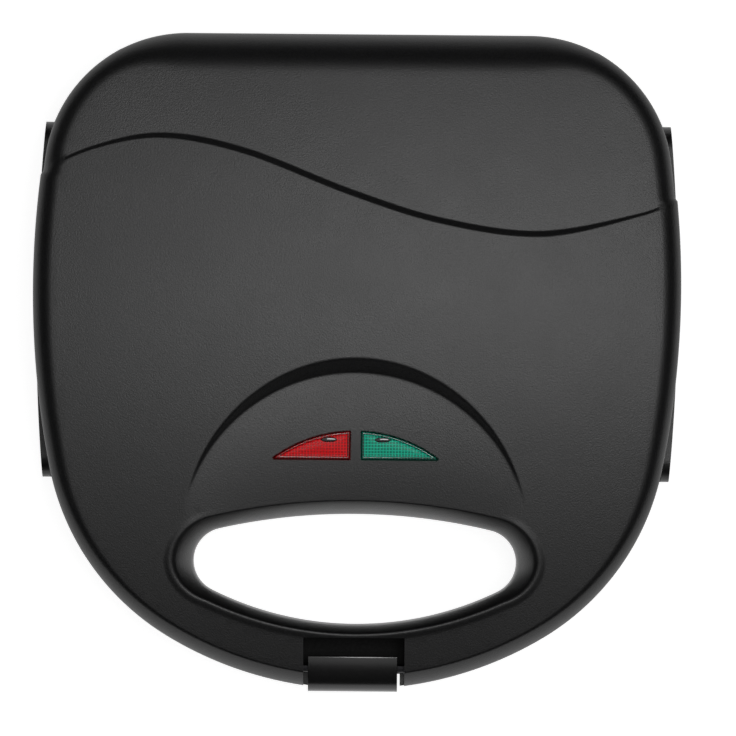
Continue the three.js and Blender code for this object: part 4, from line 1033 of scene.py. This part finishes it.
def non_stick(name):
    """Sprayed non-stick coating: dark, with a fine orange peel and paler flecks."""
    material, tree, shader = new_material(name)
    where = coordinates(tree)
    peel = noise(tree, where, "peel")
    flecks = noise(tree, where, "flecks")
    fix(shader, {"Metallic": 0.25})
    vary_colour(tree, shader, ramp(tree, flecks, (0.6, 0.72)), COLOURS["coating"], COLOURS["worn"])
    vary_roughness(tree, shader, peel, (0.3, 0.7), (0.3, 0.42))
    bump(tree, peel, shader, "peel")
    return material


def mineral(name, colour):
    """Ceramic or heatproof moulding: pale, slightly speckled."""
    material, tree, shader = new_material(name)
    specks = noise(tree, coordinates(tree), "specks")
    vary_colour(tree, shader, ramp(tree, specks, (0.55, 0.7)), colour, shade(colour, 0.7))
    fix(shader, {"Roughness": 0.6})
    bump(tree, specks, shader, "specks")
    return material


def woven_sleeve(name, colour):
    """Braided glass-fibre sleeve."""
    material, tree, shader = new_material(name)
    braid = tree.nodes.new("ShaderNodeTexVoronoi")
    braid.inputs["Scale"].default_value = BRAID_SCALE
    tree.links.new(coordinates(tree), braid.inputs["Vector"])
    threads = ramp(tree, braid.outputs["Distance"], (0.1, 0.6), (1.0, 0.0))
    vary_colour(tree, shader, threads, shade(colour, 0.6), colour)
    fix(shader, {"Roughness": 0.75})
    bump(tree, braid.outputs["Distance"], shader, "braid")
    return material


def rubber(name):
    """Matt black rubber with a faint bloom."""
    material, tree, shader = new_material(name)
    bloom = noise(tree, coordinates(tree), "bloom")
    vary_colour(tree, shader, bloom, COLOURS["rubber"], COLOURS["bloom"])
    fix(shader, {"Roughness": 0.85})
    bump(tree, bloom, shader, "bloom")
    return material


def lamp_glass(name):
    """Clear glass with faint streaks."""
    material, tree, shader = new_material(name)
    streaks = noise(tree, coordinates(tree), "streaks")
    fix(shader, {"Transmission Weight": 0.8})
    vary_colour(tree, shader, streaks, COLOURS["glass"], COLOURS["amber"])
    vary_roughness(tree, shader, streaks, (0.3, 0.7), (0.04, 0.12))
    return material


def lens_plastic(name, deep, highlight_colour, coat):
    """Clear coloured plastic, moulded behind with a fine square grid. The paler colour on the grid's lines is
    painted highlight, standing in for light caught by the grid.
    """
    material, tree, shader = new_material(name)
    split = tree.nodes.new("ShaderNodeSeparateXYZ")
    tree.links.new(coordinates(tree), split.inputs["Vector"])
    turns = [maths(tree, "MULTIPLY", split.outputs[axis], 2 * math.pi / LENS_PITCH) for axis in ("X", "Y")]
    lines = maths(tree, "MAXIMUM", *[maths(tree, "COSINE", turn) for turn in turns])
    grid = ramp(tree, lines, (0.2, 0.95))
    # Painted highlight: the grid's lines take the paler colour, as if they caught the light
    vary_colour(tree, shader, grid, deep, highlight_colour)
    fix(shader, {"Roughness": 0.3, "Specular IOR Level": 0.15, "Coat Weight": coat, "Coat Roughness": 0.08})
    bump(tree, grid, shader, "grid")
    return material


def set_material(thing, *materials):
    """Gives a mesh its materials. Clearing an empty list would reset the faces' own material numbers."""
    if thing.data.materials:
        thing.data.materials.clear()
    for material in materials:
        thing.data.materials.append(material)


def dress_nodes(names, material):
    for name in names:
        set_material(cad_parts[name], material)


# Surroundings

def floor():
    """A plain pale floor that takes the object's shadow, and that the camera and reflections see as white."""
    work = bmesh.new()
    bmesh.ops.create_grid(work, x_segments=1, y_segments=1, size=STAGE["floor"])
    mesh = bpy.data.meshes.new("floor")
    work.to_mesh(mesh)
    work.free()
    plane = add_object("floor", mesh)
    plane.location.z = -STAGE["floor_drop"]
    material, tree, shader = new_material("floor_white")
    fix(shader, {"Base Color": STAGE["floor_colour"], "Roughness": 0.9, "Specular IOR Level": 0.0})
    fix(shader, {"Emission Color": WHITE})
    path = tree.nodes.new("ShaderNodeLightPath")
    seen = maths(tree, "MAXIMUM", path.outputs["Is Camera Ray"], path.outputs["Is Glossy Ray"])
    seen = maths(tree, "MAXIMUM", seen, path.outputs["Is Transmission Ray"])
    tree.links.new(maths(tree, "MULTIPLY", seen, STAGE["floor_glow"]), shader.inputs["Emission Strength"])
    set_material(plane, material)


def lamp(name, place_at, size, energy):
    data = bpy.data.lights.new(name, "AREA")
    data.energy = energy
    data.size = size
    thing = add_object(name, data)
    thing.location = place_at
    thing.rotation_euler = (Vector(STAGE["aim"]) - Vector(place_at)).to_track_quat("-Z", "Y").to_euler()


def surroundings():
    """The lamps, and a dim world whose horizon is white except to diffuse rays."""
    world = bpy.data.worlds.new("studio")
    bpy.context.scene.world = world
    world.use_nodes = True
    tree = world.node_tree
    background = tree.nodes["Background"]
    fix(background, {"Color": WHITE})
    split = tree.nodes.new("ShaderNodeSeparateXYZ")
    tree.links.new(tree.nodes.new("ShaderNodeTexCoord").outputs["Generated"], split.inputs["Vector"])
    seen = ramp(tree, split.outputs["Z"], STAGE["horizon"], (1.0, STAGE["world"]))
    path = tree.nodes.new("ShaderNodeLightPath")
    lit = ramp(tree, path.outputs["Is Diffuse Ray"], (0.0, 1.0), (1.0, 0.0))
    blend = tree.nodes.new("ShaderNodeMix")
    blend.inputs["A"].default_value = STAGE["world"]
    tree.links.new(lit, blend.inputs["Factor"])
    tree.links.new(seen, blend.inputs["B"])
    tree.links.new(blend.outputs["Result"], background.inputs["Strength"])
    for values in LAMPS:
        lamp(**values)


def camera():
    """Straight above, turned as much as the object is turned in the photograph."""
    roll = math.radians(VIEW["roll"])
    centre = ((VIEW["frame"] / 2 - VIEW["middle_x"]) * VIEW["mm_per_pixel"],
              -(VIEW["frame"] / 2 - VIEW["middle_y"]) * VIEW["mm_per_pixel"])
    x = centre[0] * math.cos(roll) - centre[1] * math.sin(roll)
    y = centre[0] * math.sin(roll) + centre[1] * math.cos(roll)
    data = bpy.data.cameras.new("camera")
    thing = add_object("camera", data)
    across = VIEW["frame"] * VIEW["mm_per_pixel"] * MM
    data.sensor_width = VIEW["sensor"]
    data.lens = VIEW["sensor"] * VIEW["distance"] / across
    data.clip_end = VIEW["clip_end"]
    where = place([(x, y, PARTING)])[0]
    thing.location = (where[0], where[1], where[2] + VIEW["distance"])
    thing.rotation_euler = (0.0, 0.0, roll)
    bpy.context.scene.camera = thing
    bpy.context.scene.view_settings.view_transform = "Standard"


# Assembly

camera()
surroundings()
floor()

housing = grained_plastic("housing_grain", COLOURS["housing"], roughness=0.36, specular=0.3)
inner_plastic = grained_plastic("frame_grain", COLOURS["frame"], roughness=0.6, specular=0.1)
gloss = polished_plastic("latch_gloss", COLOURS["latch"], roughness=0.2)
# Painted shade: near-black polished plastic for the oval where the lamp is seen through the lens
painted_lamp_shade = polished_plastic("painted_lamp_shade", COLOURS["eye"], roughness=0.05)
steel = metal("plated_steel", COLOURS["steel"], roughness=0.28)
blackened = metal("blackened_steel", COLOURS["blackened"], roughness=0.45)
coating = non_stick("plate_coating")
sheath = metal("heater_sheath", COLOURS["sheath"], roughness=0.42, stain=COLOURS["scorched"])
sheet = metal("reflector_sheet", COLOURS["sheet"], roughness=0.25, stretch=(1.0, 14.0, 1.0))
cream = mineral("cream_ceramic", COLOURS["ceramic"])
sleeve = woven_sleeve("glass_sleeve", COLOURS["sleeve"])
dark_sleeve = woven_sleeve("dark_sleeve", COLOURS["dark_sleeve"])
foot_rubber = rubber("rubber")

lid = lid_shell()
set_material(lid, housing)
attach(lid, "lid")
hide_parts("lid_cover")

base = base_shell()
set_material(base, housing)
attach(base, "base")
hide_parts("base_housing")

clip = latch_clip()
set_material(clip, gloss)
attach(clip, "latch")
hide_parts("latch")

for node, (side, deep, highlight_colour) in LENSES.items():
    piece = lens_piece(side, node)
    # Painted shade: the rim and the flange take copies of the lens plastic darkened to a fifth
    dim = shade(deep, 0.2)
    set_material(piece, lens_plastic(node + "_plastic", deep, highlight_colour, 0.0),
                 lens_plastic(node + "_rim", dim, deep, 1.0), lens_plastic(node + "_flange", dim, dim, 0.0))
    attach(piece, "lid")
    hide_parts(node)
    eye = lens_eye(side, node)
    set_material(eye, painted_lamp_shade)
    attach(eye, "lid")

dress_nodes(["lid_inner_frame", "base_inner_frame"], inner_plastic)
dress_nodes(["upper_plate", "lower_plate"], coating)
dress_nodes(["upper_heater", "lower_heater"], sheath)
dress_nodes(["upper_reflector", "lower_reflector"], sheet)
dress_nodes(["thermostat", "terminal_block", "lamp_holder"], cream)
dress_nodes(["thermal_fuse", "lower_heater_lead_right", "lower_heater_lead_left"], sleeve)
dress_nodes(["base_lead", "lid_lead"], dark_sleeve)
dress_nodes(["red_neon_lamp", "green_neon_lamp"], lamp_glass("lamp_glass"))
dress_nodes(["hinge_pin_right", "hinge_pin_left"], steel)
dress_nodes(["latch_pin"], blackened)
dress_nodes([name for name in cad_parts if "screw" in name], steel)
dress_nodes([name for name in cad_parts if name.startswith("foot_")] + ["cord_inlet_bush"], foot_rubber)
